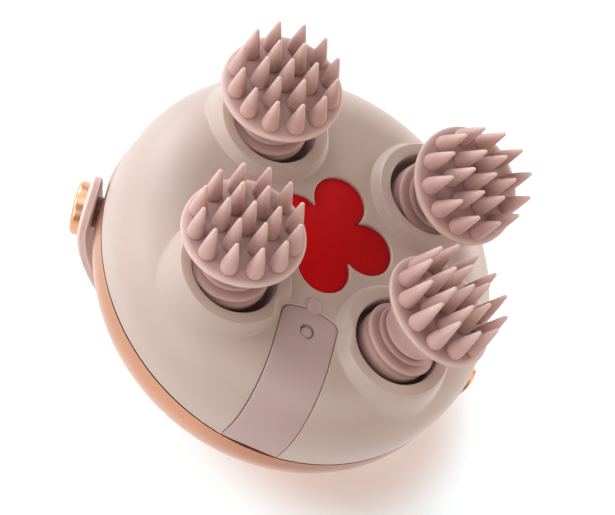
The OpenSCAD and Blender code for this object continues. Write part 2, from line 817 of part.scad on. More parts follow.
module drive_gear(x, turn)
    translate([x, 0, 0])
        difference() {
            union() {
                translate([0, 0, gear_z]) gear(drive_teeth, turn);
                disc_at(0, 0, gear_z - gear_hub, 4, gear_hub + lap);
            }
            disc_at(0, 0, gear_z - gear_hub - lap, axle_r + running, gear_face + gear_hub + 2 * lap);
            for (a = [0:60:300])
                rotate(a + turn) disc_at(drive_x * 0.6, 0, gear_z - lap, 2.2, gear_face + 2 * lap);
        }

module drive_gear_left() color([0.93, 0.92, 0.88]) drive_gear(-drive_x, 0);

module drive_gear_right() color([0.93, 0.92, 0.88]) drive_gear(drive_x, right_turn);

module motor()
    color([0.6, 0.61, 0.63])
    translate([motor_x, 0, 0])
        difference() {
            union() {
                disc_at(0, 0, plate_z - motor_l, motor_r, motor_l);
                disc_at(0, 0, plate_z - motor_l - 1.5, 3.5, 2);
                disc_at(0, 0, plate_z - lap, 3, lap + plate_t - 0.2);
            }
            disc_at(0, 0, plate_z - 5, axle_r + running, 10);
            for (s = [-1, 1]) disc_at(0, s * motor_screw_y, plate_z - 3, 1, 3 + lap);
        }

module motor_screws()
    color([0.7, 0.7, 0.72])
    for (s = [-1, 1])
        translate([motor_x, s * motor_screw_y, plate_top])
            mirror([0, 0, 1]) screw(1, plate_t + 2.6, 2, 1);

module motor_shaft()
    color([0.78, 0.78, 0.8])
    disc_at(motor_x, 0, plate_z - 4.8, axle_r, gear_z + gear_face + 5.2 - plate_z);

module motor_pinion()
    color([0.8, 0.62, 0.3])
    translate([motor_x, 0, gear_z])
        difference() {
            gear(pinion_teeth, mesh_turn(0, 180, drive_teeth, pinion_teeth));
            translate([0, 0, -lap]) cylinder(r = axle_r, h = gear_face + 2 * lap);
        }

// ---- Power ----

module battery()
    color([0.25, 0.45, 0.65])
    translate([battery_x - battery_l / 2, -battery_w / 2, battery_z])
        cube([battery_l, battery_w, battery_t]);

module circuit_board()
    color([0.1, 0.35, 0.2])
    difference() {
        disc_at(0, 0, board_z, board_r, board_t);
        disc_at(motor_x, 0, board_z - lap, motor_r + 1.5, board_t + 2 * lap);
        translate([-body_r, -motor_r - 1.5, board_z - lap])
            cube([body_r + motor_x, 2 * motor_r + 3, board_t + 2 * lap]);
        for (p = standoffs) disc_at(p[0], p[1], board_z - lap, 1, board_t + 2 * lap);
    }

module board_parts() {
    chips = [[12, 4, 12, 12, 1.4], [-6, 8, 7, 7, 1.2], [26, 2, 5, 9, 1.8], [-4, -14, 9, 5, 1.6],
        [12, -14, 4, 4, 2.2], [6, 24, 10, 4, 3], [14, -27, 8, 5, 2.4]];
    color([0.12, 0.12, 0.13])
    for (c = chips)
        translate([c[0] - c[2] / 2, c[1] - c[3] / 2, board_z + board_t]) cube([c[2], c[3], c[4]]);
}

module board_screws()
    color([0.7, 0.7, 0.72]) {
        for (p = standoffs)
            translate([p[0], p[1], board_z + board_t]) mirror([0, 0, 1]) screw(1, board_t + 4, 2, 1.2);
        for (s = [-1, 1])
            translate([s * charging_screw_x, charging_screw_y, plate_top + board_t])
                mirror([0, 0, 1]) screw(0.8, board_t + plate_t, 1.5, 0.9);
    }

module power_button()
    color([0.80, 0.55, 0.43])
    union() {
        disc_at(0, 0, -rear_h - power_proud, power_r, rear_h + power_proud + power_seat_z + 0.1);
        disc_at(0, 0, power_seat_z + 0.1, power_flange_r, power_flange);
        disc_at(0, 0, power_seat_z + 0.1, 2, power_stem_z - power_seat_z - 0.1);
    }

module switch_board()
    color([0.1, 0.35, 0.2])
    translate([0, 0, switch_board_z + switch_board_t / 2])
        cube([2 * switch_post + 3, 2 * switch_post + 3, switch_board_t], center = true);

module button_switch()
    color([0.2, 0.2, 0.22])
    union() {
        translate([-3, -3, switch_z + 0.4]) cube([6, 6, switch_h - 0.4]);
        disc_at(0, 0, switch_z, 1.7, 1);
    }

// ---- Strap ----

module strap()
    color([0.80, 0.67, 0.63])
    difference() {
        translate([0, 0, strap_z]) rotate([90, 0, 0])
            linear_extrude(strap_w, center = true) strap_arc();
        for (side = [-1, 1]) at_post(side) {
            cylinder(r = post_pin_r, h = 3 * strap_t, center = true);
            translate([0, 0, button_seat]) cylinder(r = strap_button_r + seat, h = strap_t);
            translate([0, 0, -post_seat - strap_t]) cylinder(r = post_r + seat, h = strap_t);
            linear_extrude(5 * strap_t, center = true)
                difference() {
                    translate([-strap_w, -strap_w]) square([strap_w, 2 * strap_w]);
                    circle(strap_end_r);
                }
        }
        translate([-body_r, -strap_w, strap_low - 10]) cube([2 * body_r, 2 * strap_w, 10]);
    }

// Flat outline of the strap's arc, from past one post down and round past the other
module strap_arc() {
    far = 2 * strap_r;
    span = 90 - post_tilt + strap_end + 2;
    intersection() {
        difference() {
            circle(strap_r + strap_t / 2, $fn = 360);
            circle(strap_r - strap_t / 2, $fn = 360);
        }
        polygon([[0, 0], [far * sin(span), -far * cos(span)], [far, -far], [-far, -far],
            [-far * sin(span), -far * cos(span)]]);
    }
}

module strap_button()
    translate([0, 0, button_seat])
        union() {
            top = strap_button_t + button_sink;
            rotate_extrude()
                polygon(concat(
                    [[0, 0], [strap_button_r, 0]],
                    arc(strap_button_r - 1.2, top - 1.4, 1.2, 0, 90, 6),
                    [[0, top]]
                ));
            translate([0, 0, -strap_t]) cylinder(r = post_bore_r, h = strap_t + 0.5);
        }

module strap_button_left() color([0.80, 0.52, 0.42]) at_post(-1) strap_button();

module strap_button_right() color([0.80, 0.52, 0.42]) at_post(1) strap_button();

module strap_post()
    difference() {
        union() {
            translate([0, 0, pocket_floor]) cylinder(r = post_r, h = -pocket_floor - post_seat);
            translate([0, 0, -post_seat - lap])
                cylinder(r = post_pin_r, h = post_seat + button_seat + lap);
        }
        translate([0, 0, pocket_floor - lap]) cylinder(r = post_bore_r, h = 20);
    }

module strap_post_left() color([0.35, 0.24, 0.2]) at_post(-1) strap_post();

module strap_post_right() color([0.35, 0.24, 0.2]) at_post(1) strap_post();

module strap_screws()
    color([0.7, 0.7, 0.72])
    for (side = [-1, 1])
        at_post(side) translate([0, 0, pocket_skin]) screw(post_bore_r, -pocket_skin - 2, 2.8, 1.4);

// ---- Assembly: every piece is lifted so that the strap stands on z = 0 ----

module lifted() translate([0, 0, -strap_low]) children();

lifted() front_casing();
lifted() rear_casing();
lifted() casing_seal();
lifted() casing_screws();
lifted() light_window();
lifted() light_board();
lifted() light_leds();
lifted() light_screws();
lifted() port_cover();
lifted() cover_pin();
lifted() charging_socket();
lifted() charging_board();
for (i = [0:3]) {
    lifted() head_cap(i);
    lifted() head_hub(i);
    lifted() head_shaft(i);
    lifted() head_gear(i);
}
lifted() upper_bushes();
lifted() lower_bushes();
lifted() shaft_seals();
lifted() chassis_plate();
lifted() plate_screws();
lifted() gear_axles();
lifted() drive_gear_left();
lifted() drive_gear_right();
lifted() motor();
lifted() motor_screws();
lifted() motor_shaft();
lifted() motor_pinion();
lifted() battery();
lifted() circuit_board();
lifted() board_parts();
lifted() board_screws();
lifted() power_button();
lifted() switch_board();
lifted() button_switch();
lifted() strap();
lifted() strap_button_left();
lifted() strap_button_right();
lifted() strap_post_left();
lifted() strap_post_right();
lifted() strap_screws();
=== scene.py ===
"""Finished looks of the electric scalp massager, built round its packed model."""

import json
import math

import bmesh
import bpy
from bpy.props import FloatProperty, FloatVectorProperty, IntProperty, PointerProperty
from mathutils import Matrix, Vector
from mathutils.geometry import delaunay_2d_cdt
from mathutils.kdtree import KDTree

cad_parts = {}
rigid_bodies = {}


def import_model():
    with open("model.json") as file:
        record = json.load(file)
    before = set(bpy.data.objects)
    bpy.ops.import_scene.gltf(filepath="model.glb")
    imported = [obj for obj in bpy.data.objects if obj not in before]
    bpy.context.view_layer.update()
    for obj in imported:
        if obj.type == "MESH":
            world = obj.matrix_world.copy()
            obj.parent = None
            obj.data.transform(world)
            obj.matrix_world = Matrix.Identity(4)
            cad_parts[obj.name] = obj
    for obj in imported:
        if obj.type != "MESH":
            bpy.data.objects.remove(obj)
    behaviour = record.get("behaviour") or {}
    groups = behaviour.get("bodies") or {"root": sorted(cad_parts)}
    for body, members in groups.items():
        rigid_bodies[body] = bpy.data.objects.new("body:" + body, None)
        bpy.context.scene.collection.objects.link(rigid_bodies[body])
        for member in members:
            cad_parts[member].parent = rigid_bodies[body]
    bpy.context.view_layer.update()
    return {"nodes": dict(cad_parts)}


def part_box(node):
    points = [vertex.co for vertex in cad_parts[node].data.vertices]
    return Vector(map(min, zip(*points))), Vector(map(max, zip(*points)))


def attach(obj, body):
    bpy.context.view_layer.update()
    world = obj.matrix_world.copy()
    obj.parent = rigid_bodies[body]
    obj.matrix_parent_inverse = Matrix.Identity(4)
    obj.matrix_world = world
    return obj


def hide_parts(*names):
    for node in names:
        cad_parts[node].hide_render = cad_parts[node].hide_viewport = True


bl_info = {
    "name": "Scalp massager",
    "version": (1, 0, 0),
    "blender": (4, 5, 0),
    "location": "3D View > Sidebar > Massager",
    "description": "Builds the casings, heads, port cover, strap and finishes of a scalp massager",
    "category": "Object",
}

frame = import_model()

# Lengths below are in millimetres, and heights are measured from the parting line
MM = 0.001
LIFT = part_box("casing_seal")[1].z / MM

BODY_R = 56.0
FRONT = (5.0, 19.0, 1.2)  # side, shoulder and crown of the front casing
REAR = (3.0, 18.0, 7.0)
WALL = 2.0
BEVEL = 0.3
SEAM = (1.3, 0.26)  # depth and half width of the slot round the parting line
FLOOR_Z = 17.6
PIVOT_Z = 21.5
CAP_RIM_Z = 21.2  # where a cap's flare ends, above the pivot that it leans about
WELLS = [(-24, 24), (-24, -24), (24, 24), (24, -24)]
LEAN_WAYS = [186, 169, -49, 46]  # way round that each cap leans, in degrees
CAP_TURNS = [12, 8, 15, 37]
PETAL_D = 10.5
SEAT_Z = 22.6
FLANGE_R = 19.64
COVER_END = 25.5
COVER_CORNER = 2.5
COVER_SLANT = 18.0  # degrees that the arched end slopes at its corners
COVER_T = 1.4
COVER_GAP = 0.22
GROOVE_T = 1.5
HOLE_D = 30.7
HOLE_R = 2.1
PEG_R = 1.6
HINGE = (-54.5, 1.5)  # y and height of the port cover's pin
SCREW_RING = 43.7
SCREW_ANGLES = (20, 160)  # and the same on the other side
SOCKET_Z = 8.63
STRAP_R = 59.91
STRAP_Z = 7.99
POST_X = 56.3
POST_DROP = 12.5
POST_TILT = 20.0
POCKET_FLOOR = -5.4
BACK_Z = -26.0
REAR_H = 28.0


def tone(*screen):
    """Screen colour, 0 to 255, as the light values that Blender's shaders take."""
    parts = [c / 255 for c in screen]
    return tuple(c / 12.92 if c <= 0.04045 else ((c + 0.055) / 1.055) ** 2.4 for c in parts)


# ---- Sizes and colours that a user may change ----


def length(name, text, default):
    return FloatProperty(name=name, description=text, default=default * MM, unit="LENGTH", precision=4)


def count(name, text, default, low, high):
    return IntProperty(name=name, description=text, default=default, min=low, max=high)


def colour(name, text, default):
    return FloatVectorProperty(name=name, description=text, default=default, subtype="COLOR", min=0, max=1)


class MassagerSizes(bpy.types.PropertyGroup):
    """Sizes of the massager's own pieces."""

    well_radius: length("Well radius", "Radius of the well that each head stands in", 12.2)
    edge_round: length("Edge rounding", "Rounding of the front casing's cut edges", 0.35)
    lip_blend: length("Lip blend", "Softness of the join between a well's lip and the casing", 6.0)
    petal_radius: length("Petal radius", "Radius of the light window's petals", 7.5)
    cover_width: length("Cover width", "Width of the port cover", 16.2)
    cap_radius: length("Cap radius", "Radius of a cap's rim", 16.3)
    spike_radius: length("Spike radius", "Radius of a spike where it leaves the cap", 2.4)
    spike_tip: length("Spike tip radius", "Radius of a spike's rounded tip", 0.55)
    spike_length: length("Spike length", "Length of the middle spike", 12.6)
    inner_ring: length("Inner ring", "Radius of the inner ring of spikes", 6.5)
    outer_ring: length("Outer ring", "Radius of the outer ring of spikes", 12.8)
    outer_drop: length("Outer drop", "How far the outer tips stay below the middle one", 1.8)
    strap_width: length("Strap width", "Width of the hand strap", 17.5)
    strap_thickness: length("Strap thickness", "Thickness of the hand strap", 3.0)
    skin_step: length("Mesh step", "Distance between the points of the front casing's mesh", 1.3)
    head_lean: FloatProperty(name="Head lean", description="Angle that each head leans from its shaft",
                             default=math.radians(13.75), subtype="ANGLE")
    inner_spikes: count("Inner spikes", "Spikes in the inner ring", 6, 3, 8)
    outer_spikes: count("Outer spikes", "Spikes in the outer ring", 12, 6, 16)


class MassagerColours(bpy.types.PropertyGroup):
    """Colours of the massager's finishes."""

    front_shell: colour("Front casing", "Satin plastic of the front casing", tone(178, 153, 139))
    rose_gold: colour("Rose gold", "Satin metal of the rear casing", tone(202, 140, 105))
    rose_gold_button: colour("Buttons", "Polished metal of the strap and power buttons", tone(228, 164, 126))
    cover: colour("Port cover", "Soft plastic of the port cover", tone(175, 146, 138))
    strap: colour("Strap", "Soft plastic of the hand strap", tone(220, 186, 176))
    silicone: colour("Silicone", "Soft silicone of the caps", tone(186, 147, 137))
    # Paler spike tips, also used for the painted highlight on the caps' ring crests and rim edge
    silicone_tip_and_highlight: colour("Silicone tips", "Paler tips of the spikes", tone(212, 182, 171))
    window: colour("Window", "Deep red of the light window", tone(190, 2, 8))


def size(name):
    return getattr(bpy.context.scene.massager_sizes, name) / MM


def shade(name):
    return tuple(getattr(bpy.context.scene.massager_colours, name))


# ---- Meshes ----


def arc(cx, cy, r, a0, a1, n):
    """Points of an arc round (cx, cy), from angle a0 to a1 in n steps."""
    angles = [math.radians(a0 + (a1 - a0) * i / n) for i in range(n + 1)]
    return [(cx + r * math.cos(a), cy + r * math.sin(a)) for a in angles]


def circle_at(x, y, r, n):
    turns = [2 * math.pi * i / n for i in range(n)]
    return [(x + r * math.cos(a), y + r * math.sin(a)) for a in turns]


def revolve(profile, steps=128):
    """Closed solid from (radius, height) points that start and end on the axis, or close on themselves."""
    verts, rings = [], []
    for r, z in profile:
        start = len(verts)
        verts += [(x, y, z) for x, y in (circle_at(0, 0, r, steps) if r > 1e-6 else [(0.0, 0.0)])]
        rings.append(range(start, len(verts)))
    pairs = list(zip(rings, rings[1:]))
    if len(rings[0]) > 1:
        pairs.append((rings[-1], rings[0]))
    faces = []
    for low, high in pairs:
        for i in range(steps):
            corners = ((low, i), (low, i + 1), (high, i + 1), (high, i))
            face = tuple(dict.fromkeys(ring[k % len(ring)] for ring, k in corners))
            if len(face) > 2:
                faces.append(face)
    return verts, faces


def cylinder(r, z0, z1, steps=64):
    return revolve([(0, z0), (r, z0), (r, z1), (0, z1)], steps)


def box_shape(low, high):
    verts = [(x, y, z) for x in (low[0], high[0]) for y in (low[1], high[1]) for z in (low[2], high[2])]
    return verts, [(0, 1, 3, 2), (4, 6, 7, 5), (0, 4, 5, 1), (2, 3, 7, 6), (0, 2, 6, 4), (1, 5, 7, 3)]


def moved(shape, matrix):
    verts, faces = shape
    return [tuple(matrix @ Vector(v)) for v in verts], faces


def mark_slot_shade(obj):
    """Marks the points in the slot round the parting line, which the material darkens."""
    mark = obj.data.attributes.new("slot", "FLOAT", "POINT")
    beside = (size("cover_width") / 2 + 0.5) * MM
    for i, v in enumerate(obj.data.vertices):
        near_rim = math.hypot(v.co.x, v.co.y) > (BODY_R - 2.5) * MM and (v.co.y > 0 or abs(v.co.x) > beside)
        mark.data[i].value = 1.0 if near_rim and abs(v.co.z / MM - LIFT) < SEAM[1] + 0.02 else 0.0


def shifted(shape, x, y, z=0.0):
    return moved(shape, Matrix.Translation((x, y, z)))


def joined(*shapes):
    verts, faces = [], []
    for v, f in shapes:
        start = len(verts)
        verts += v
        faces += [tuple(i + start for i in face) for face in f]
    return verts, faces


def at_post(side):
    """Frame of a strap post: its Z points outwards along the post."""
    tilt = Matrix.Translation((POST_X, 0, -POST_DROP)) @ Matrix.Rotation(math.radians(90 + POST_TILT), 4, "Y")
    return tilt if side > 0 else Matrix.Rotation(math.pi, 4, "Z") @ tilt


def at_posts(shape):
    return joined(*[moved(shape, at_post(side)) for side in (-1, 1)])


def at_wells(shape):
    return joined(*[shifted(shape, x, y) for x, y in WELLS])


def at_screws(shape):
    ring = [math.radians(turn + a) for turn in (0, 180) for a in SCREW_ANGLES]
    return joined(*[shifted(shape, SCREW_RING * math.cos(a), SCREW_RING * math.sin(a)) for a in ring])


class Sheet:
    """Flat triangulated sheet: loops are kept as edges, and every point carries its height."""

    def __init__(self):
        self.points, self.heights, self.edges = [], [], []

    def loop(self, points, height):
        """Adds a closed loop. height is one value or a function of the point."""
        start, n = len(self.points), len(points)
        self.points += points
        self.heights += [height(p) if callable(height) else height for p in points]
        self.edges += [(start + i, start + (i + 1) % n) for i in range(n)]
        return list(range(start, start + n))

    def scatter(self, points, height, gap):
        """Adds loose points that keep their distance from what is there already."""
        tree = KDTree(len(self.points))
        for i, p in enumerate(self.points):
            tree.insert((p[0], p[1], 0), i)
        tree.balance()
        for p in points:
            h = height(p)
            if h is not None and (not self.points or tree.find((p[0], p[1], 0))[2] > gap):
                self.points.append(p)
                self.heights.append(h)

    def grid(self, x0, x1, y0, y1, step, height, gap):
        row, points = 0, []
        y = y0
        while y <= y1:
            x = x0 + (step / 2 if row % 2 else 0)
            while x <= x1:
                points.append((x, y))
                x += step
            y += step * 0.866
            row += 1
        self.scatter(points, height, gap)

    def triangles(self, keep):
        found = delaunay_2d_cdt([Vector(p) for p in self.points], self.edges, [], 0, 1e-7)
        if not all(found[3]):
            raise RuntimeError("two loops of a sheet cross")
        old = [o[0] for o in found[3]]
        faces = []
        for a, b, c in found[2]:
            a, b, c = old[a], old[b], old[c]
            pa, pb, pc = self.points[a], self.points[b], self.points[c]
            turn = (pb[0] - pa[0]) * (pc[1] - pa[1]) - (pb[1] - pa[1]) * (pc[0] - pa[0])
            if keep(((pa[0] + pb[0] + pc[0]) / 3, (pa[1] + pb[1] + pc[1]) / 3)):
                faces.append((a, b, c) if turn > 0 else (a, c, b))
        return faces


def slab(sheet, faces, top, bottom):
    """Closed slab between top and bottom, which map a flat point and its height to space."""
    n = len(sheet.points)
    verts = [side(p, h) for side in (top, bottom) for p, h in zip(sheet.points, sheet.heights)]
    edges = dict.fromkeys(e for a, b, c in faces for e in ((a, b), (b, c), (c, a)))
    solid = list(faces) + [(a + n, c + n, b + n) for a, b, c in faces]
    return verts, solid + [(b, a, a + n, b + n) for a, b in edges if (b, a) not in edges]


def build_mesh(name, shape, place=True):
    verts, faces = shape
    if place:
        verts = [(x * MM, y * MM, (z + LIFT) * MM) for x, y, z in verts]
    mesh = bpy.data.meshes.new(name)
    mesh.from_pydata(verts, [], faces)
    work = bmesh.new()
    work.from_mesh(mesh)
    bmesh.ops.remove_doubles(work, verts=work.verts, dist=1e-7)
    bmesh.ops.delete(work, geom=[v for v in work.verts if not v.link_faces], context="VERTS")
    bmesh.ops.recalc_face_normals(work, faces=work.faces)
    work.to_mesh(mesh)
    work.free()
    return mesh


def new_object(name, shape, place=True):
    obj = bpy.data.objects.new(name, build_mesh(name, shape, place))
    bpy.context.scene.collection.objects.link(obj)
    return obj


def delete_object(obj):
    """Deletes an object and its mesh."""
    mesh = obj.data
    bpy.data.objects.remove(obj)
    bpy.data.meshes.remove(mesh)


def baked(obj):
    """Turns what the modifiers make into the object's own mesh."""
    mesh = bpy.data.meshes.new_from_object(obj.evaluated_get(bpy.context.evaluated_depsgraph_get()))
    obj.modifiers.clear()
    old, obj.data = obj.data, mesh
    mesh.name = obj.name
    bpy.data.meshes.remove(old)
    return obj


def combined(obj, operation, *shapes, place=True):
    """Adds, cuts or intersects the object with closed shapes, one after another."""
    for shape in shapes:
        tool = shape if isinstance(shape, bpy.types.Object) else new_object("tool", shape, place)
        cut = obj.modifiers.new("cut", "BOOLEAN")
        cut.operation, cut.solver, cut.object = operation, "MANIFOLD", tool
        baked(obj)
        delete_object(tool)
    return obj


def finish_piece(obj, slot, body, node, angle=32):
    """Gives a piece its finish and its body, and lets it stand for its node."""
    mesh = obj.data
    mesh.materials.clear()
    mesh.materials.append(MATERIALS[slot])
    mesh.shade_smooth()
    mesh.set_sharp_from_angle(angle=math.radians(angle))
    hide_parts(node)
    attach(obj, body)


# ---- The domed body ----


class Dome:
    """Half section of a domed casing, by the length along its surface from the crown."""

    def __init__(self, side, shoulder, crown, sign=1):
        self.side, self.shoulder, self.sign = side, shoulder, sign
        self.c = BODY_R - shoulder
        self.crown_r = shoulder + (self.c**2 + crown**2) / (2 * crown)
        self.slope = math.asin(self.c / (self.crown_r - shoulder))
        self.top = side + shoulder + crown
        self.s1 = self.crown_r * self.slope
        self.s2 = self.s1 + shoulder * (math.pi / 2 - self.slope)
        self.end = self.s2 + side - BEVEL

    def at(self, s, h=0.0):
        """Radius and height of the point s along the section and h outside it."""
        if s < self.s1:
            a, r = s / self.crown_r, self.crown_r + h
            return r * math.sin(a), self.sign * (self.top - self.crown_r + r * math.cos(a))
        if s < self.s2:
            a, r = self.slope + (s - self.s1) / self.shoulder, self.shoulder + h
            return self.c + r * math.sin(a), self.sign * (self.side + r * math.cos(a))
        return BODY_R + h, self.sign * (self.side - (s - self.s2))

    def along(self, r):
        """Length along the section to radius r."""
        r = min(r, BODY_R)
        if r < self.crown_r * math.sin(self.slope):
            return self.crown_r * math.asin(r / self.crown_r)
        return self.s1 + self.shoulder * (math.asin(min(1, (r - self.c) / self.shoulder)) - self.slope)

    def section(self, inset, low, steps=48):
        """Profile of the solid under the section, moved in by inset and cut at height low."""
        curve = [self.at(max(0, self.s2 - self.s2 * i / steps), -inset) for i in range(steps + 1)]
        return [(0, low), (BODY_R - inset, low), *curve[:-1], (0, curve[-1][1])]


front = Dome(*FRONT)
rear = Dome(*REAR, sign=-1)
GROOVE_END = front.s2 + FRONT[0] - HINGE[1]  # where the port cover meets its hinge, along the section


def unrolled(x, y):
    """Flat-sheet place of the front casing's point above (x, y)."""
    r = math.hypot(x, y)
    k = front.along(r) / r if r > 1e-6 else 1.0
    return x * k, y * k


def on_side(x, s):
    """Flat-sheet place of the point at width x and length s along the section, towards -Y."""
    r = front.at(s)[0]
    w = x / r
    return s * w, -s * math.sqrt(1 - w * w)


def on_front(u, v, h=0.0):
    """Point in space for a place on the flat sheet, h outside the casing."""
    s = math.hypot(u, v)
    r, z = front.at(s, h)
    k = r / s if s > 1e-6 else 0.0
    return u * k, v * k, z


def smooth_max(a, b, k):
    h = max(k - abs(a - b), 0) / k
    return max(a, b) + h * h * k / 4


def lip_height(d):
    """Height of a well's lip at distance d from the well's axis."""
    crest, crest_d = 27.15, 14.3
    top = crest - 0.1 * (d - crest_d) ** 2
    skirt = 24.9 - 6.5 * (d - 16.35)
    return -smooth_max(-top, -skirt, 5.0)


def beside_cover(x, y):
    """Distance from (x, y) to the port cover's outline, zero inside it."""
    half, corner = size("cover_width") / 2, COVER_CORNER
    dx = abs(x) - (half - corner)
    dy = y + COVER_END + corner
    if dx <= 0 and dy <= 0:
        return 0.0
    return max(0.0, math.hypot(max(dx, 0), max(dy, 0)) - corner)


def lip_rise(x, y, z):
    top = z
    for wx, wy in WELLS:
        d = math.hypot(x - wx, y - wy)
        if d < 24:
            top = smooth_max(top, lip_height(d), size("lip_blend"))
    t = min(1, beside_cover(x, y) / 3.5)
    return (top - z) * t * t * (3 - 2 * t)


def clover(grow, n=56):
    """Outline of the light window's four petals, grown outwards, or inwards where grow is below zero."""
    r, inset = size("petal_radius") + max(grow, 0), max(-grow, 0)
    cusp = (PETAL_D + math.sqrt(2 * r * r - PETAL_D**2)) / 2
    a = math.degrees(math.atan2(cusp, cusp - PETAL_D))
    petal = arc(PETAL_D, 0, r - inset, -a, a, n)
    if inset:
        away = math.degrees(math.atan2(-cusp, PETAL_D - cusp))
        petal += arc(cusp, cusp, inset, away + 360, 90 - away, 8)[1:-1]
    else:
        petal.pop()
    points = []
    for turn in (0, 90, 180, 270):
        c, s = math.cos(math.radians(turn)), math.sin(math.radians(turn))
        points += [(x * c - y * s, x * s + y * c) for x, y in petal]
    return points


def in_clover(x, y, grow):
    r, inset = size("petal_radius") + max(grow, 0), max(-grow, 0)
    cusp = (PETAL_D + math.sqrt(2 * r * r - PETAL_D**2)) / 2
    x, y = abs(x), abs(y)
    if max(x, y) < cusp and math.hypot(x - cusp, y - cusp) > inset:
        return True
    return min(math.hypot(x - PETAL_D, y), math.hypot(x, y - PETAL_D)) < r - inset


def cover_tip(x, grow):
    """Y of the port cover's arched end at width x, grown outwards, and the width where its corners start."""
    slant = math.radians(COVER_SLANT)
    reach = size("cover_width") / 2 + grow - COVER_CORNER * (1 - math.sin(slant))
    foot = -COVER_END + grow - COVER_CORNER * (1 - math.cos(slant))
    return foot + math.tan(slant) * (reach * reach - x * x) / (2 * reach), reach


def cover_loop(grow, s_end, step=1.0):
    """Outline of the port cover as (width, length along the section), grown outwards."""
    half, corner = size("cover_width") / 2 + grow, COVER_CORNER
    corner_y = -COVER_END + grow - corner
    reach = cover_tip(0, grow)[1]
    outline = arc(half - corner, corner_y, corner, 0, 90 - COVER_SLANT, 7)
    outline += [(x, cover_tip(x, grow)[0]) for x in [reach * (1 - 2 * i / 14) for i in range(1, 14)]]
    outline += arc(corner - half, corner_y, corner, 90 + COVER_SLANT, 180, 7)
    points = [(x, front.along(math.hypot(x, y))) for x, y in outline]
    s0 = front.along(math.hypot(half, corner_y))
    n = int((s_end - s0) / step)
    points += [(-half, s0 + (s_end - s0) * i / n) for i in range(1, n + 1)]
    points += [(half * (2 * i / 14 - 1), s_end) for i in range(1, 14)]
    points += [(half, s_end + (s0 - s_end) * i / n) for i in range(n)]
    return points


def in_cover(x, s, grow, s_end):
    half = size("cover_width") / 2 + grow
    if abs(x) > half or s > s_end:
        return False
    r = front.at(s)[0]
    if r <= abs(x):
        return False
    y = -math.sqrt(r * r - x * x)
    tip, reach = cover_tip(x, grow)
    if abs(x) < reach:
        return y <= tip
    dx, dy = abs(x) - (half - COVER_CORNER), y - (-COVER_END + grow - COVER_CORNER)
    return not (dx > 0 and dy > 0 and math.hypot(dx, dy) > COVER_CORNER)


def round_over(f, steps=3):
    """(offset, depth) pairs of an outside rounding, from the flat face to the wall."""
    bends = [math.radians(90 * i / steps) for i in range(steps + 1)]
    return [(f * (1 - math.sin(b)), f * (1 - math.cos(b))) for b in bends]


# ---- Front casing ----


def front_skin():
    """Outer skin of the front casing, with its wells, window hole and cover groove sunk into it."""
    sheet = Sheet()
    f, step, well_r = size("edge_round"), size("skin_step"), size("well_radius")
    thin = 0.04  # slant of a wall, so that its foot stays apart from its top on the flat sheet

    def sink(outline, kind, depth):
        sheet.loop([unrolled(*p) for p in outline], (kind, depth))

    outer = sheet.loop(circle_at(0, 0, front.end, 360), ("skin", 0))
    for x, y in WELLS:
        for grow, depth in round_over(f):
            sink(circle_at(x, y, well_r + grow, 120), "skin", depth)
        sink(circle_at(x, y, well_r - thin, 120), "flat", FLOOR_Z)
        sink(circle_at(x, y, 6, 48), "flat", FLOOR_Z)
    for grow, depth in round_over(f):
        sink(clover(0.15 + grow), "skin", depth)
    sink(clover(0.15 - thin), "flat", SEAT_Z - 1)
    for grow, depth in round_over(0.25) + [(-thin, GROOVE_T)]:
        sheet.loop([on_side(*p) for p in cover_loop(COVER_GAP + grow, GROOVE_END + grow)], ("skin", depth))
    for inset, depth in ((-0.03, GROOVE_T), (0, 0.78), (0.05, 0.68), (0.15, 0.65), (0.8, 0.63)):
        sink(circle_at(0, -HOLE_D - 0.3, PEG_R - inset, 40), "skin", depth)

    def free(p):
        x, y = on_front(*p)[:2]
        s = math.hypot(*p)
        if s > front.end - 0.3 or any(math.hypot(x - wx, y - wy) < well_r + 0.45 for wx, wy in WELLS):
            return None
        if in_clover(x, y, 0.6):
            return ("flat", SEAT_Z - 1) if in_clover(x, y, -0.3) else None
        if y < 0 and in_cover(x, s, 0.55, GROOVE_END + 0.5):
            inside = in_cover(x, s, -0.2, GROOVE_END - 0.3) and math.hypot(x, y + HOLE_D) >= HOLE_R
            return ("skin", GROOVE_T) if inside else None
        return ("skin", 0)

    for r in (13, 13.6, 14.2, 14.8, 15.3, 15.8, 16.3, 16.7, 17.1, 17.5, 17.9, 18.3, 18.8, 19.4, 20.1):
        for wx, wy in WELLS:
            ring = [p for p in circle_at(wx, wy, r, 110) if math.hypot(*p) < BODY_R - 0.2]
            sheet.scatter([unrolled(*p) for p in ring], free, 0.3)
    reach = front.end
    sheet.grid(-reach, reach, -reach, reach, step, free, step * 0.62)
    faces = sheet.triangles(lambda p: math.hypot(*p) < reach + 0.01)

    def place(p, height):
        kind, value = height
        x, y, z = on_front(*p)
        if kind == "flat":
            return x, y, value
        if value and y < -20 and abs(x) < 10:  # the cover's groove is sunk square to the skin
            x, y, z = on_front(*p, -value)
            value = 0
        return x, y, z + lip_rise(x, y, z) - value

    verts = [place(p, h) for p, h in zip(sheet.points, sheet.heights)]
    # The bevel and the slot at the parting line, then the flat underside
    n, ring = len(outer), outer
    turns = [math.atan2(sheet.points[i][1], sheet.points[i][0]) for i in outer]
    depth, gap = SEAM
    for r, z in ((BODY_R - BEVEL + gap, gap), (BODY_R - depth, gap), (BODY_R - depth, 0.0)):
        start = len(verts)
        verts += [(r * math.cos(a), r * math.sin(a), z) for a in turns]
        faces += [(ring[i], start + i, start + (i + 1) % n, ring[(i + 1) % n]) for i in range(n)]
        ring = range(start, start + n)
    verts.append((0.0, 0.0, 0.0))
    return verts, faces + [(start + (i + 1) % n, start + i, start + n) for i in range(n)]


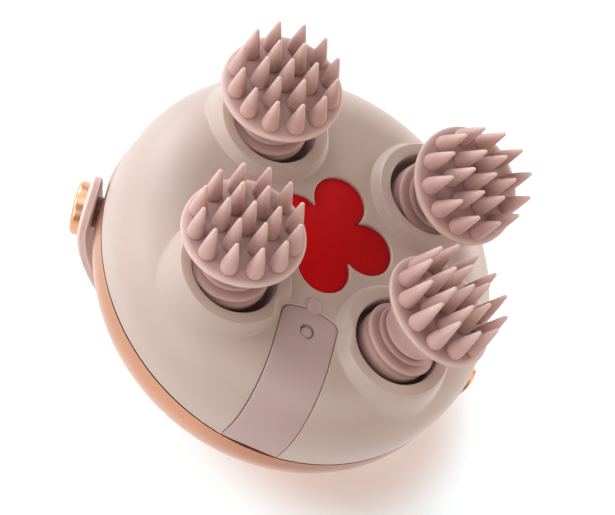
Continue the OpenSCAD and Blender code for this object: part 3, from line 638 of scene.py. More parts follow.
def side_block(half, s0, s1, low, high, across=14, down=40):
    """Block under or over the casing's side towards -Y, from height low to high outside it."""
    sheet, faces = Sheet(), []
    for i in range(down + 1):
        for j in range(across + 1):
            sheet.points.append((half * (2 * j / across - 1), s0 + (s1 - s0) * i / down))
            sheet.heights.append(0)
            if i < down and j < across:
                a = i * (across + 1) + j
                b, c, d = a + 1, a + across + 2, a + across + 1
                faces += [(a, b, c), (a, c, d)]

    def outside(height):
        return lambda p, h: on_front(*on_side(*p), height)

    return slab(sheet, faces, outside(high), outside(low))


def along_hinge(r, half, steps=48):
    turn = Matrix.Translation((0, HINGE[0], HINGE[1])) @ Matrix.Rotation(math.pi / 2, 4, "Y")
    return moved(cylinder(r, -half, half, steps), turn)


def socket_slot(grow, y0, y1):
    r, side = 1.63 + grow, 4.47 - 1.63
    outline = arc(side, SOCKET_Z, r, -90, 90, 16) + arc(-side, SOCKET_Z, r, 90, 270, 16)
    n = len(outline)
    verts = [(x, y0, z) for x, z in outline] + [(x, y1, z) for x, z in outline]
    faces = [tuple(range(n)), tuple(range(2 * n - 1, n - 1, -1))]
    faces += [(i, i + n, (i + 1) % n + n, (i + 1) % n) for i in range(n)]
    return verts, faces


def front_casing():
    half = size("cover_width") / 2
    casing = new_object("front_shell", front_skin())
    hollow = new_object("hollow", revolve(front.section(WALL, -1.0), 180))
    drum = revolve([(0, 12.4), (6.8, 12.4), (6.8, 16), (13.8, 16), (13.8, 40), (0, 40)], 72)
    inner = [at_wells(drum), cylinder(FLANGE_R, SEAT_Z, 40, 96), at_screws(cylinder(3.6, -2, 40, 40))]
    under_cover = side_block(half + 1.8, front.along(24), front.s2 + 7, -3.6, 3)
    combined(hollow, "DIFFERENCE", joined(*inner), under_cover)
    below = box_shape((-half - 0.15, -58, -1), (half + 0.15, HINGE[0], HINGE[1] + 0.2))
    combined(casing, "DIFFERENCE", hollow, at_wells(cylinder(4.5, 8, 19, 48)), along_hinge(1.6, half + 0.15),
             below, socket_slot(0.2, -58, -50))
    mark_slot_shade(casing)
    finish_piece(casing, "front_shell", "casing", "front_casing")


# ---- Rear casing ----


def rear_casing():
    depth, gap = SEAM
    steps = 70
    profile = [(0, 0), (BODY_R - depth, 0), (BODY_R - depth, -gap), (BODY_R - BEVEL + gap, -gap)]
    profile += [(BODY_R, -BEVEL)] + [rear.at(rear.end * (1 - i / steps)) for i in range(1, steps)]
    profile.append((0, -REAR_H))
    casing = new_object("rear_shell", revolve(profile, 256))
    hollow = new_object("hollow", revolve(rear.section(WALL, 1.0), 180))
    inner = joined(cylinder(10.6, -30, BACK_Z + 0.6, 64), at_screws(cylinder(4.4, -29, 0, 40)))
    combined(hollow, "DIFFERENCE", inner, at_posts(cylinder(11.6, POCKET_FLOOR - WALL, 20, 64)))
    button = [(0, -20), (8.2, -20), (8.2, -27.55), (8.3, -27.85), (8.6, -28.1), (8.8, -29), (0, -29)]
    screw = [(0, 1), (1.4, 1), (1.4, -12), (3, -12), (3, -30), (0, -30)]
    pocket, bore = cylinder(10, POCKET_FLOOR, 20, 96), cylinder(1.5, POCKET_FLOOR - 6, 0, 32)
    combined(casing, "DIFFERENCE", hollow, at_posts(pocket), at_posts(bore), revolve(button, 96),
             at_screws(revolve(screw, 40)))
    mark_slot_shade(casing)
    finish_piece(casing, "rose_gold", "casing", "rear_casing")


def power_button():
    r, low, top = 8.0, -REAR_H - 0.4, BACK_Z + 0.7
    edge = [(0, low + 0.35), (4.5, low + 0.25), (6.4, low)] + arc(r - 0.7, low + 0.7, 0.7, -90, 0, 5)
    flange = [(r, top), (9.2, top), (9.2, top + 0.8), (2, top + 0.8), (2, top + 1), (0, top + 1)]
    button = new_object("power_button_cap", revolve(edge + flange, 96))
    finish_piece(button, "polished_rose_gold", "power_button", "power_button", angle=40)


# ---- Light window ----


def light_window():
    f, base = 0.3, SEAT_Z - 1.0
    sheet = Sheet()
    for grow, depth in reversed(round_over(f)):
        sheet.loop(clover(-grow), depth)
    sheet.grid(-19, 19, -19, 19, 1.6, lambda p: 0 if in_clover(*p, -f - 0.5) else None, 0.9)
    faces = sheet.triangles(lambda p: in_clover(*p, 0.0))

    def top(p, depth):
        return p[0], p[1], front.at(math.hypot(*p))[1] - 0.75 - depth

    window = new_object("light_window_lens", slab(sheet, faces, top, lambda p, depth: (p[0], p[1], base)))
    combined(window, "UNION", cylinder(FLANGE_R, SEAT_Z - 1.4, SEAT_Z, 128))
    finish_piece(window, "window_red", "casing", "light_window")


# ---- Port cover ----


def port_cover():
    f, reach, hole_s = 0.28, size("cover_width") / 2, front.along(HOLE_D)
    sheet = Sheet()
    for grow, depth in reversed(round_over(f)):
        sheet.loop(cover_loop(-grow, GROOVE_END), lambda p, d=depth: d if p[1] < GROOVE_END - 0.2 else 0)
    for grow, depth in reversed(round_over(0.2)):
        ring = circle_at(0, -HOLE_D, HOLE_R + grow, 40)
        sheet.loop([(x, front.along(math.hypot(x, y))) for x, y in ring], depth)

    def off_hole(p):
        return math.hypot(p[0], p[1] - hole_s) - HOLE_R

    def free(p):
        return 0 if in_cover(*p, -f - 0.3, GROOVE_END - 0.3) and off_hole(p) >= 0.5 else None

    def skin(p, h):
        return on_front(*on_side(*p), h)

    sheet.grid(-reach, reach, 20, GROOVE_END, 1.1, free, 0.6)
    faces = sheet.triangles(lambda p: in_cover(*p, 0.001, GROOVE_END + 0.01) and off_hole(p) > -0.04)
    faces = [(a, c, b) for a, b, c in faces]
    band = slab(sheet, faces, lambda p, d: skin(p, -d), lambda p, d: skin(p, -COVER_T))
    cover = new_object("port_cover_band", band)
    bead = new_object("bead", along_hinge(1.42, reach))
    combined(bead, "INTERSECT", cylinder(BODY_R - 0.02, -3, 8, 360))
    combined(cover, "UNION", bead, cover_tab())
    combined(cover, "DIFFERENCE", along_hinge(0.45, reach + 1, 24))
    finish_piece(cover, "cover_mauve", "port_cover", "port_cover")


def cover_tab():
    """Rounded tongue that lies just above the casing beyond the cover's end."""
    w, tip, root, f, corner = 3.9, COVER_END - 4.0, COVER_END - 0.1, 0.3, 1.3
    sheet = Sheet()
    for grow, depth in reversed(round_over(f, 4)):
        r, x, near, far = corner - grow, w / 2 - corner, -tip - corner, corner - root
        spots = ((x, near, 0), (-x, near, 90), (-x, far, 180), (x, far, 270))
        sheet.loop([p for cx, cy, a in spots for p in arc(cx, cy, r, a, a + 90, 8)], depth)
    sheet.grid(-1.5, 1.5, -root + 0.6, -tip - 0.6, 0.7, lambda p: 0, 0.35)

    def place(p, h):
        return on_front(*unrolled(*p), h)

    def low(p, depth):
        over = cover_tip(0, 0)[0] - 0.1 - p[1]
        return place(p, 0.15 - 0.9 * max(0, min(1, over / 0.4)))

    return slab(sheet, sheet.triangles(lambda p: True), lambda p, d: place(p, 1.0 - d), low)


# ---- Heads ----


def cap_top(r):
    return CAP_RIM_Z + 1.0 + 1.1 * (1 - (r / size("cap_radius")) ** 2)


def cap_profile():
    """Section of a cap: collar, crease, ring, crease and a flare out to the rim."""
    rim, foot, edge_z = size("cap_radius"), (8.0, 10.1), CAP_RIM_Z + 0.45
    collar = [(7.6, -1.8), (8.8, -1.5), (9.9, -0.7), (10.4, 0.6), (10.6, 2.0), (10.65, 3.0), (10.55, 3.8)]
    ring = [(10.35, 4.4), (10.4, 4.8), (10.65, 5.3), (10.8, 5.8), (10.7, 6.2), (10.3, 6.5), (9.4, 6.65)]
    crease = [(8.6, 6.8), (8.3, 7.05), (8.5, 7.4), (8.85, 7.75), (8.9, 8.05), (8.6, 8.35), (7.9, 8.5)]
    lip = [(7.4, 8.65), (7.3, 8.9), (7.6, 9.2), (8.0, 9.5), (8.1, 9.8), foot]
    flare = [(foot[0] + (rim - foot[0]) * (i / 14) ** 1.3, foot[1] + (CAP_RIM_Z - foot[1]) * i / 14)
             for i in range(1, 15)]
    edge = [(rim, edge_z)] + arc(rim - 0.5, edge_z, 0.5, 0, 80, 4)[1:]
    crown = [(r, cap_top(r)) for r in (14.6, 13, 11, 9, 7, 5, 3, 1.5, 0)]
    return [(0, -1.8)] + collar + ring + crease + lip + flare + edge + crown


def spike_profile(l):
    """Section of one spike, from below the cap's top to its rounded tip."""
    r, tip, widest = size("spike_radius"), size("spike_tip"), 1.0
    foot = [(0, -1.0), (r - 0.5, -1.0), (r - 0.45, -0.1), (r - 0.3, 0.2), (r - 0.1, 0.55), (r, widest)]
    steps = [i / 12 for i in range(1, 13)]
    cone = [(tip + (r - tip) * (1 - t**1.2), widest + (l - tip - widest) * t) for t in steps]
    return foot + cone + arc(0, l - tip, tip, 14, 90, 5)[:-1] + [(0, l)]


# ---- Nodes ----


def feed(tree, node, inputs):
    """Sets a node's inputs: a socket is linked, and anything else becomes the input's value."""
    for name, value in inputs.items():
        if isinstance(value, bpy.types.NodeSocket):
            tree.links.new(value, node.inputs[name])
        else:
            node.inputs[name].default_value = value


def add(tree, kind, inputs, out=0, **settings):
    """Adds a node and gives one of its outputs."""
    node = tree.nodes.new(kind)
    for name, value in settings.items():
        setattr(node, name, value)
    feed(tree, node, inputs)
    return node.outputs[out]


class StampTree:
    """Node tree that stands copies of its geometry on points, with a named input for each size."""

    kinds = {int: "NodeSocketInt", float: "NodeSocketFloat", type(None): "NodeSocketMaterial"}

    def __init__(self, name, sizes):
        self.tree = bpy.data.node_groups.new(name, "GeometryNodeTree")
        new_socket = self.tree.interface.new_socket
        new_socket("Geometry", in_out="INPUT", socket_type="NodeSocketGeometry")
        self.ids = {}
        for label, default in {**sizes, "Material": None}.items():
            socket = new_socket(label, in_out="INPUT", socket_type=self.kinds[type(default)])
            self.ids[label] = socket.identifier
            if default is not None:
                socket.default_value = default
        new_socket("Geometry", in_out="OUTPUT", socket_type="NodeSocketGeometry")
        self.entry = self.tree.nodes.new("NodeGroupInput").outputs
        self.join = self.tree.nodes.new("GeometryNodeJoinGeometry")

    def add(self, kind, inputs, **settings):
        return add(self.tree, kind, inputs, **settings)

    def vector(self, **axes):
        return self.add("ShaderNodeCombineXYZ", axes)

    def stand(self, points, height, turn=None, scale=None):
        """Turns and lifts the points by the named inputs, and stands the geometry on each of them."""
        lift = {"Geometry": points, "Translation": self.vector(Z=self.entry[height])}
        if turn:
            lift["Rotation"] = self.vector(Z=self.entry[turn])
        stamp = {"Points": self.add("GeometryNodeTransform", lift), "Instance": self.entry["Geometry"]}
        if scale:
            stamp["Scale"] = self.vector(X=1, Y=1, Z=self.entry[scale])
        self.tree.links.new(self.add("GeometryNodeInstanceOnPoints", stamp), self.join.inputs[0])

    def run(self, obj, values):
        """Ends the tree, runs it on the object with its inputs set, and keeps the plain mesh."""
        real = self.add("GeometryNodeRealizeInstances", {0: self.join.outputs[0]})
        paint = self.add("GeometryNodeSetMaterial", {"Geometry": real, "Material": self.entry["Material"]})
        self.tree.links.new(paint, self.tree.nodes.new("NodeGroupOutput").inputs[0])
        step = obj.modifiers.new("nodes", "NODES")
        step.node_group = self.tree
        for label, value in values.items():
            step[self.ids[label]] = value
        return baked(obj)


def ring_tree():
    """Node tree that stands a spike at the centre and in two rings."""
    tree = StampTree("Spike rings", {
        "Inner Count": 6, "Outer Count": 12, "Inner Radius": 6.5, "Outer Radius": 12.8,
        "Centre Height": 24.4, "Inner Height": 24.2, "Outer Height": 23.7,
        "Inner Scale": 1.0, "Outer Scale": 0.9, "Outer Turn": 0.26,
    })

    def ring(name):
        sizes = {"Vertices": tree.entry[name + " Count"], "Radius": tree.entry[name + " Radius"]}
        return tree.add("GeometryNodeMeshCircle", sizes)

    tree.stand(tree.add("GeometryNodeMeshLine", {"Count": 1}), "Centre Height")
    tree.stand(ring("Inner"), "Inner Height", scale="Inner Scale")
    tree.stand(ring("Outer"), "Outer Height", "Outer Turn", "Outer Scale")
    return tree


def spiked_cap():
    """Cap with its spikes, standing upright in millimetres."""
    l, drop = size("spike_length"), size("outer_drop")
    inner_r, outer_r = size("inner_ring"), size("outer_ring")
    inner_l = l + cap_top(0) - cap_top(inner_r) - drop / 4
    outer_l = l + cap_top(0) - cap_top(outer_r) - drop
    sizes = bpy.context.scene.massager_sizes
    spikes = ring_tree().run(new_object("spikes", revolve(spike_profile(l), 28), place=False), {
        "Inner Count": sizes.inner_spikes, "Outer Count": sizes.outer_spikes,
        "Inner Radius": inner_r, "Outer Radius": outer_r,
        "Centre Height": cap_top(0), "Inner Height": cap_top(inner_r), "Outer Height": cap_top(outer_r),
        "Inner Scale": inner_l / l, "Outer Scale": outer_l / l, "Outer Turn": math.pi / 12,
        "Material": MATERIALS["silicone"],
    })
    return combined(new_object("cap", revolve(cap_profile(), 144), place=False), "UNION", spikes)


def clamp(value):
    return max(0.0, min(1.0, value))


def cap_marks(r, z):
    """How pale and how shaded the silicone is at radius r and height z of a cap."""
    def near(height, width):
        return math.exp(-((z - height) / width) ** 2)

    if z > CAP_RIM_Z + 0.1:
        # painted highlight along the rim's edge
        if r > size("cap_radius") - 0.45 and z < CAP_RIM_Z + 1.2:
            return 0.6, 0.0
        # paler towards the spike tips, partly painted highlight; painted shade round the spike feet
        return clamp(1.6 * (z - cap_top(12.8)) / 13.5 - 0.6), 0.16 if z < cap_top(r) + 0.3 else 0.0
    # painted highlight on the crests of the neck's rings
    crests = 0.65 * near(5.75, 0.35) + 0.4 * near(9.75, 0.3)
    # painted shade in the neck's creases, deepening down the neck
    creases = 0.2 * near(4.4, 0.35) + 0.5 * near(6.95, 0.4) + 0.5 * near(8.75, 0.35)
    return crests, min(1.0, creases + clamp((2.2 - z) / 3.2) + 0.16 * clamp(10.5 - z))


def head_caps():
    model = spiked_cap()
    names = ("pale_and_highlight", "shade")
    for name in names:
        model.data.attributes.new(name, "FLOAT", "POINT")
    for v in model.data.vertices:
        for name, value in zip(names, cap_marks(math.hypot(v.co.x, v.co.y), v.co.z)):
            model.data.attributes[name].data[v.index].value = value
    lean = bpy.context.scene.massager_sizes.head_lean
    for i, (x, y) in enumerate(WELLS):
        way, turn = math.radians(LEAN_WAYS[i]), math.radians(CAP_TURNS[i] - LEAN_WAYS[i])
        place = Matrix.Translation((x, y, PIVOT_Z + LIFT)) @ Matrix.Rotation(way, 4, "Z")
        place = place @ Matrix.Rotation(lean, 4, "Y") @ Matrix.Rotation(turn, 4, "Z")
        mesh = model.data.copy()
        mesh.transform(Matrix.Scale(MM, 4) @ place)
        cap = bpy.data.objects.new(f"spiked_cap_{i + 1}", mesh)
        bpy.context.scene.collection.objects.link(cap)
        finish_piece(cap, "silicone", f"head_{i + 1}", f"head_{i + 1}_cap", angle=50)
    delete_object(model)


# ---- Strap ----


def hand_strap():
    end_r, thick = size("strap_width") / 2, size("strap_thickness") / 2
    reach = STRAP_R * math.radians(90 - POST_TILT)
    sheet = Sheet()

    def from_middle(p):
        return math.hypot(max(0, abs(p[0]) - reach), p[1])

    def from_button(p):
        return math.hypot(abs(p[0]) - reach, p[1])

    def stadium(grow, n=24, count=110):
        r = end_r + grow
        side = [reach * (1 - 2 * i / count) for i in range(count + 1)]
        points = arc(reach, 0, r, -90, 90, n)[:-1] + [(x, r) for x in side]
        return points + arc(-reach, 0, r, 90, 270, n)[1:-1] + [(-x, -r) for x in side]

    for grow, depth in reversed(round_over(0.9, 4)):
        sheet.loop(stadium(-grow), (depth, depth))
    for x in (-reach, reach):
        for r, depth in ((7.75, 0), (7.62, 0.05), (7.55, 0.18), (7.53, 0.5)):
            sheet.loop(circle_at(x, 0, r, 72), (depth, 0))

    def free(p):
        if from_middle(p) > end_r - 1.2 or 7.2 < from_button(p) < 8.1:
            return None
        return (0.5, 0) if from_button(p) < 7.5 else (0, 0)

    sheet.grid(-reach - end_r, reach + end_r, -end_r, end_r, 1.5, free, 0.8)
    faces = sheet.triangles(lambda p: from_middle(p) < end_r + 0.01)

    def bent(p, h):
        x, y = p
        over = abs(x) - reach
        wide = 1 + 0.075 * min(1, max(0, (over + 16) / 12)) * min(1, max(0, (from_button(p) - 7.9) / 0.8))
        if over > 0:
            x = math.copysign(reach + over * wide, x)
        a, r = x / STRAP_R, STRAP_R + h
        return r * math.sin(a), y * wide, STRAP_Z - r * math.cos(a)

    def outside(p, h):
        x, y, z = bent(p, thick - h[0])
        return x, y, max(z, h[0] * 0.6 - LIFT)

    def side_groove(h):
        ring = Sheet()
        for grow in (0.6, -0.25):
            ring.loop(stadium(grow), 0)
        band = ring.triangles(lambda p: from_middle(p) > end_r - 0.25)
        return slab(ring, band, lambda p, d: bent(p, h + 0.09), lambda p, d: bent(p, h - 0.09))

    strap = new_object("hand_strap", slab(sheet, faces, outside, lambda p, h: bent(p, h[1] - thick)))
    combined(strap, "DIFFERENCE", side_groove(0.3), side_groove(-0.3))
    finish_piece(strap, "strap_pink", "casing", "strap")


def strap_fittings():
    seat = size("strap_thickness") / 2
    top, r, low = seat + 2.6, 7.4, POCKET_FLOOR
    button = [(0, seat - 0.49), (r, seat - 0.49)] + arc(r - 1.1, top - 1.1, 1.1, 0, 78, 7)
    button += [(5.2, top + 0.02), (4.6, top - 0.08), (0, top - 0.08)]
    post = [(0, low), (3.9, low), (4.2, low + 0.3), (4.2, -seat - 0.01), (0, -seat - 0.01)]
    for side, word in ((-1, "left"), (1, "right")):
        for name, profile, steps, slot, node in (
            ("strap_disc_", button, 96, "polished_rose_gold", "strap_button_"),
            ("strap_spacer_", post, 64, "post_brown", "strap_post_"),
        ):
            fitting = new_object(name + word, moved(revolve(profile, steps), at_post(side)))
            finish_piece(fitting, slot, "casing", node + word, angle=40)


# ---- Screws ----


def screw_shape(r, l, head_r, head):
    """Pan-head screw along +Z with its head under the origin and a hexagon socket."""
    dome = [(0, -head)] + arc(head_r - 0.4, 0.4 - head, 0.4, -90, 0, 3)
    shank = [(head_r, 0), (r, 0), (r, l - 0.5), (r * 0.5, l), (0, l)]
    body = new_object("casing_screw_set", revolve(dome + shank, 36), place=False)
    return combined(body, "DIFFERENCE", cylinder(head_r * 0.45, -head - 1, -head * 0.4, 6), place=False)


def pair_tree():
    """Node tree that stands a screw at both ends of two lines through the axis."""
    tree = StampTree("Screw circle", {"Radius": 44.0, "First Angle": 0.0, "Second Angle": 1.0, "Height": 0.0})
    radius = tree.entry["Radius"]
    for angle in ("First Angle", "Second Angle"):
        back = tree.add("ShaderNodeMath", {0: radius, 1: -1}, operation="MULTIPLY")
        ends = {"Count": 2, "Start Location": tree.vector(X=radius), "Offset": tree.vector(X=back)}
        tree.stand(tree.add("GeometryNodeMeshLine", ends, mode="END_POINTS"), "Height", angle)
    return tree


def casing_screws():
    first, second = (math.radians(a) for a in SCREW_ANGLES)
    screws = pair_tree().run(screw_shape(1.4, 20, 2.6, 1.8), {
        "Radius": SCREW_RING, "First Angle": first, "Second Angle": second, "Height": -12.0,
        "Material": MATERIALS["steel"],
    })
    screws.data.transform(Matrix.Scale(MM, 4) @ Matrix.Translation((0, 0, LIFT)))
    finish_piece(screws, "steel", "casing", "casing_screws")


# ---- Materials ----

MATERIALS = {}


def material(name, base, rough, metallic=0.0, vary=0.05, vary_scale=60.0, grain=0.0, grain_scale=1500.0,
             rough_vary=0.06, coat=0.0, coat_rough=0.1, sheen=0.0, subsurface=0.0, specular=0.5):
    """Moulded or metal finish: broad colour drift, fine surface grain, uneven gloss and a soft sheen."""
    mat = MATERIALS[name] = bpy.data.materials.new(name)
    mat.use_nodes = True
    tree = mat.node_tree
    place = add(tree, "ShaderNodeTexCoord", {}, "Object")
    drift = add(tree, "ShaderNodeTexNoise", {"Vector": place, "Scale": vary_scale, "Detail": 3})
    fine = add(tree, "ShaderNodeTexNoise", {"Vector": place, "Scale": grain_scale, "Detail": 2})
    ramp = add(tree, "ShaderNodeValToRGB", {"Fac": drift})
    for end, position, factor in zip(ramp.node.color_ramp.elements, (0.3, 0.7), (1 - vary, 1 + vary)):
        end.position, end.color = position, (*[min(1, c * factor) for c in base], 1)
    least, most = max(0.02, rough - rough_vary), min(1, rough + rough_vary)
    inputs = {
        "Base Color": ramp, "Metallic": metallic, "Coat Weight": coat, "Coat Roughness": coat_rough,
        "Sheen Weight": sheen, "Specular IOR Level": specular,
        "Roughness": add(tree, "ShaderNodeMapRange", {"Value": fine, "To Min": least, "To Max": most}),
    }
    if subsurface:
        inputs["Subsurface Weight"] = subsurface
        inputs["Subsurface Scale"], inputs["Subsurface Radius"] = 0.0025, (1, 0.5, 0.4)
    if grain:
        bumps = {"Height": fine, "Strength": grain, "Distance": 0.0001}
        inputs["Normal"] = add(tree, "ShaderNodeBump", bumps)
    feed(tree, tree.nodes["Principled BSDF"], inputs)
    return mat


def blend_in(mat, factor, tint):
    """Mixes a tint into the material's colour where the factor's socket is high."""
    base = mat.node_tree.nodes["Principled BSDF"].inputs["Base Color"]
    inputs = {"Factor": factor, "A": base.links[0].from_socket, "B": (*tint, 1)}
    mix = add(mat.node_tree, "ShaderNodeMix", inputs, "Result", data_type="RGBA")
    mat.node_tree.links.new(mix, base)


def ramp(mat, operation, other, start, end, curve):
    """Socket from 0 to 1 as the place's distance from other, or reach along it, goes from start to end."""
    place = add(mat.node_tree, "ShaderNodeTexCoord", {}, "Object")
    reach = add(mat.node_tree, "ShaderNodeVectorMath", {0: place, 1: other}, "Value", operation=operation)
    span = {"Value": reach, "From Min": start, "From Max": end}
    return add(mat.node_tree, "ShaderNodeMapRange", span, interpolation_type=curve)


def across(mat, way, start, end):
    """Socket from 0 at start to 1 at end, both in metres from the middle, towards the given way round."""
    way = math.radians(way)
    return ramp(mat, "DOT_PRODUCT", (math.cos(way), math.sin(way), 0), start, end, "LINEAR")


def around(mat, middle, start, end):
    """Socket from 0 at radius start to 1 at radius end round the middle."""
    return ramp(mat, "DISTANCE", (*middle, 0), start, end, "SMOOTHSTEP")


def marked(mat, name, tint):
    """Mixes a tint in where the mesh's point attribute is high."""
    blend_in(mat, add(mat.node_tree, "ShaderNodeAttribute", {}, "Fac", attribute_name=name), tint)


def deeper(name, factors):
    return [c * factor for c, factor in zip(shade(name), factors)]


def make_materials():
    if MATERIALS:
        return
    shell = material("front_shell", shade("front_shell"), 0.46, vary=0.015, grain=0.08, grain_scale=2200,
                     coat=0.06, coat_rough=0.36, sheen=0.3)
    gold = material("rose_gold", shade("rose_gold"), 0.28, metallic=0.95, vary=0.015, grain=0.03,
                    grain_scale=2600, rough_vary=0.02, coat=0.35, coat_rough=0.3)
    # painted shade: the rear casing darkens towards -35 degrees, where its rim would reflect the floor's
    # shadow
    blend_in(gold, across(gold, -35, 0.02, 0.06), deeper("rose_gold", (0.6, 0.41, 0.31)))
    # painted shade: the faces of the slot round the parting line are near black
    for mat in (shell, gold):
        marked(mat, "slot", tone(30, 18, 15))
    red = material("window_red", shade("window"), 0.5, vary_scale=40, coat=0.06, coat_rough=0.25,
                   specular=0.15)
    # painted shade: the window darkens towards +X, away from the light on the left
    blend_in(red, across(red, 0, -0.002, 0.022), deeper("window", (0.62, 0.62, 0.62)))
    soft = material("silicone", shade("silicone"), 0.5, vary=0.03, grain=0.05, grain_scale=2500, sheen=0.1,
                    subsurface=0.08, specular=0.35)
    # paler spike tips, partly painted highlight, and painted highlight on the ring crests and rim edge
    marked(soft, "pale_and_highlight", shade("silicone_tip_and_highlight"))
    # painted shade in the creases, round the spike feet and down the neck
    marked(soft, "shade", deeper("silicone", (0.3, 0.23, 0.24)))
    material("strap_pink", shade("strap"), 0.42, vary=0.02, grain=0.08, grain_scale=2400, sheen=0.1)
    material("polished_rose_gold", shade("rose_gold_button"), 0.3, metallic=1.0, vary=0.02, rough_vary=0.03)
    material("cover_mauve", shade("cover"), 0.46, vary=0.02, grain=0.1, grain_scale=2400, sheen=0.05)
    material("seal_black", tone(38, 34, 34), 0.6, grain=0.1)
    material("hub_plastic", tone(88, 76, 74), 0.5, grain=0.1)
    material("steel", tone(178, 178, 182), 0.3, metallic=1.0, grain=0.04)
    material("bronze", tone(196, 150, 88), 0.36, metallic=1.0, grain=0.06)
    material("acetal", tone(234, 231, 222), 0.38, vary=0.02, grain=0.05, subsurface=0.1)
    material("plate_aluminium", tone(186, 188, 192), 0.42, metallic=1.0, grain=0.12)
    material("board_green", tone(20, 84, 52), 0.4, vary=0.12, vary_scale=160, coat=0.4)
    material("led_white", tone(244, 238, 214), 0.3, vary=0.03)
    material("battery_wrap", tone(62, 110, 160), 0.28, vary=0.04, coat=0.5)
    material("chip_black", tone(30, 30, 32), 0.5, grain=0.15)
    material("post_brown", tone(92, 62, 50), 0.38, vary=0.05, grain=0.08)


# ---- Stage ----


SENSOR_W = 36.0
FOCAL, PICTURE_W = 2704.0, 615.0  # both in pixels


def camera():
    """Camera at the object's three-quarter view from the front left."""
    data = bpy.data.cameras.new("camera")
    data.sensor_fit, data.sensor_width = "HORIZONTAL", SENSOR_W
    data.lens = SENSOR_W * FOCAL / PICTURE_W
    data.clip_start, data.clip_end = 0.05, 20.0
    eye = bpy.data.objects.new("camera", data)
    right, up = Vector((0.87917, 0.20515, 0.43008)), Vector((-0.39576, 0.81705, 0.41929))
    back = Vector((-0.26537, -0.53884, 0.79952))
    axes = Matrix((right, up, back)).transposed().to_4x4()
    eye.matrix_world = Matrix.Translation((-0.19411, -0.39386, 0.59438 + LIFT * MM)) @ axes
    bpy.context.scene.collection.objects.link(eye)
    bpy.context.scene.camera = eye


def floor_glow_and_painted_shadow(paper):
    """Makes the floor a sheet lit from below, unlit and warmer beside the object."""
    tree, beside, inner, outer = paper.node_tree, (0.036, 0.006), 0.032, 0.056
    # painted shadow: a warm darker patch on the floor beside the object
    blend_in(paper, around(paper, beside, outer, inner), (0.8, 0.68, 0.62))
    # painted light: the floor glows, except in the painted shadow, away from the middle and towards -60
    # degrees
    lit = around(paper, beside, inner, outer)
    for share in (around(paper, (0, 0), 0.3, 0.15), across(paper, -60, 0.08, 0.055)):
        lit = add(tree, "ShaderNodeMath", {0: lit, 1: share}, operation="MULTIPLY")
    glow = {"Emission Color": (0.14, 0.22, 0.24, 1), "Emission Strength": lit}
    feed(tree, tree.nodes["Principled BSDF"], glow)


# Way round, height in degrees and power of each softbox of the tent
SOFTBOXES = [
    (0, 12, 2.2), (45, 12, 10.8), (90, 12, 2.5), (135, 12, 9.9), (180, 12, 7.8), (225, 12, 6.0),
    (0, 38, 1.6), (135, 38, 2.9), (180, 38, 1.0), (225, 38, 0.7), (270, 38, 3.8), (315, 38, 4.5),
    (90, 65, 0.2), (180, 65, 3.7),
]
TENT_R = 1.3
TENT_MIDDLE = Vector((0, 0, 0.05))


def softbox(way, height, power):
    """Square lamp that faces the object: cooler on the left than elsewhere."""
    data = bpy.data.lights.new(f"softbox_{way}_{height}", "AREA")
    data.size, data.energy = 0.7, power
    data.color = (0.94, 1.0, 1.07) if 130 < way < 230 else (1.03, 0.99, 0.95)
    a, e = math.radians(way), math.radians(height)
    out = Vector((math.cos(e) * math.cos(a), math.cos(e) * math.sin(a), math.sin(e)))
    obj = bpy.data.objects.new(data.name, data)
    obj.location = TENT_MIDDLE + out * TENT_R
    obj.rotation_euler = (-out).to_track_quat("-Z", "Y").to_euler()
    bpy.context.scene.collection.objects.link(obj)


def stage():
    camera()
    mesh = bpy.data.meshes.new("floor")
    mesh.from_pydata([(-1, -1, 0), (1, -1, 0), (1, 1, 0), (-1, 1, 0)], [], [(0, 1, 2, 3)])
    floor = bpy.data.objects.new("floor", mesh)
    bpy.context.scene.collection.objects.link(floor)
    paper = material("floor_paper", (0.93, 0.93, 0.93), 0.75, vary=0.002, specular=0.1)
    mesh.materials.append(paper)
    floor_glow_and_painted_shadow(paper)
    world = bpy.context.scene.world = bpy.data.worlds.new("studio")
    world.use_nodes = True
    seen = add(world.node_tree, "ShaderNodeLightPath", {}, "Is Camera Ray")
    feed(world.node_tree, world.node_tree.nodes["Background"], {"Color": (1, 1, 1, 1), "Strength": seen})
    for box in SOFTBOXES:
        softbox(*box)
    bpy.context.scene.view_settings.view_transform = "Standard"


# ---- What stays as the packed model has it ----

INNER_FINISHES = {
    "seal_black": ["casing_seal", "shaft_seals"],
    "board_green": ["light_board", "charging_board", "circuit_board", "switch_board"],
    "led_white": ["light_leds"],
    "steel": ["light_screws", "cover_pin", "charging_socket", "plate_screws", "gear_axles", "motor",
              "motor_screws", "motor_shaft", "board_screws", "strap_screws",
              *[f"head_{i}_shaft" for i in range(1, 5)]],
    "hub_plastic": [f"head_{i}_hub" for i in range(1, 5)],
    "acetal": ["drive_gear_left", "drive_gear_right"] + [f"head_{i}_gear" for i in range(1, 5)],
    "bronze": ["upper_bushes", "lower_bushes", "motor_pinion"],
    "plate_aluminium": ["chassis_plate"],
    "battery_wrap": ["battery"],
    "chip_black": ["board_parts", "button_switch"],
}


def inner_finishes():
    for finish, nodes in INNER_FINISHES.items():
        for node in nodes:
            obj = frame["nodes"][node]
            if not obj.material_slots:
                obj.data.materials.append(None)
            for slot in obj.material_slots:
                slot.material = MATERIALS[finish]


# ---- Operators, panel and registration ----


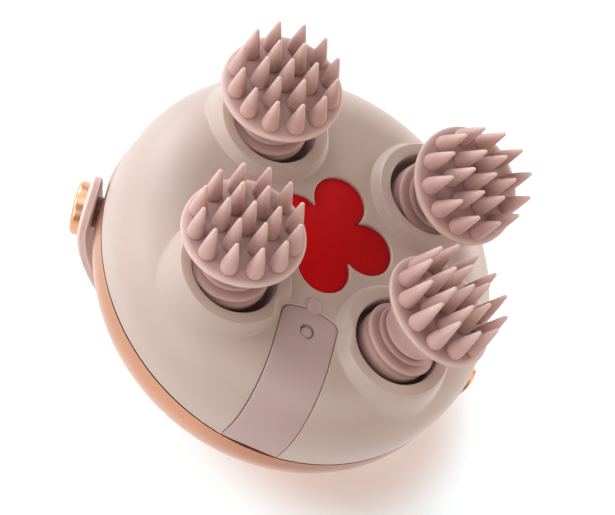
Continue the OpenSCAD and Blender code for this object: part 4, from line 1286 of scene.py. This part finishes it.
def operator(idname, label, text, *jobs):
    """Operator class that runs the given builders."""

    def execute(self, context):
        make_materials()
        for job in jobs:
            job()
        return {"FINISHED"}

    return type("MASSAGER_OT_" + idname, (bpy.types.Operator,), {
        "bl_idname": "massager." + idname, "bl_label": label, "__doc__": text, "execute": execute,
    })


OPERATORS = [
    operator("stage", "Stage", "Build the camera, floor and lights", stage),
    operator("front_casing", "Front casing", "Build the front casing, wells and groove", front_casing),
    operator("rear_casing", "Rear casing", "Build the rear casing and power button", rear_casing,
             power_button),
    operator("light_window", "Light window", "Build the clover-shaped light window", light_window),
    operator("port_cover", "Port cover", "Build the hinged cover of the charging port", port_cover),
    operator("heads", "Heads", "Build the four spiked caps", head_caps),
    operator("strap", "Strap", "Build the hand strap, its buttons and posts", hand_strap, strap_fittings),
    operator("screws", "Screws", "Build the casing screws", casing_screws),
    operator("inner_finishes", "Inner finishes", "Give the inner pieces their finishes", inner_finishes),
]


class MASSAGER_PT_panel(bpy.types.Panel):
    """Massager tools in the sidebar."""

    bl_label = "Scalp massager"
    bl_idname = "MASSAGER_PT_panel"
    bl_space_type = "VIEW_3D"
    bl_region_type = "UI"
    bl_category = "Massager"

    def draw(self, context):
        for group in (context.scene.massager_sizes, context.scene.massager_colours):
            for name in group.bl_rna.properties.keys():
                if name not in ("name", "rna_type"):
                    self.layout.prop(group, name)
        for cls in OPERATORS:
            self.layout.operator(cls.bl_idname)


CLASSES = [MassagerSizes, MassagerColours, *OPERATORS, MASSAGER_PT_panel]


def register():
    for cls in CLASSES:
        bpy.utils.register_class(cls)
    bpy.types.Scene.massager_sizes = PointerProperty(type=MassagerSizes)
    bpy.types.Scene.massager_colours = PointerProperty(type=MassagerColours)


def unregister():
    del bpy.types.Scene.massager_colours
    del bpy.types.Scene.massager_sizes
    for cls in reversed(CLASSES):
        bpy.utils.unregister_class(cls)


def main():
    register()
    for cls in OPERATORS:
        tool = cls.bl_idname.split(".")[1]
        getattr(bpy.ops.massager, tool)()


if __name__ == "__main__":
    main()
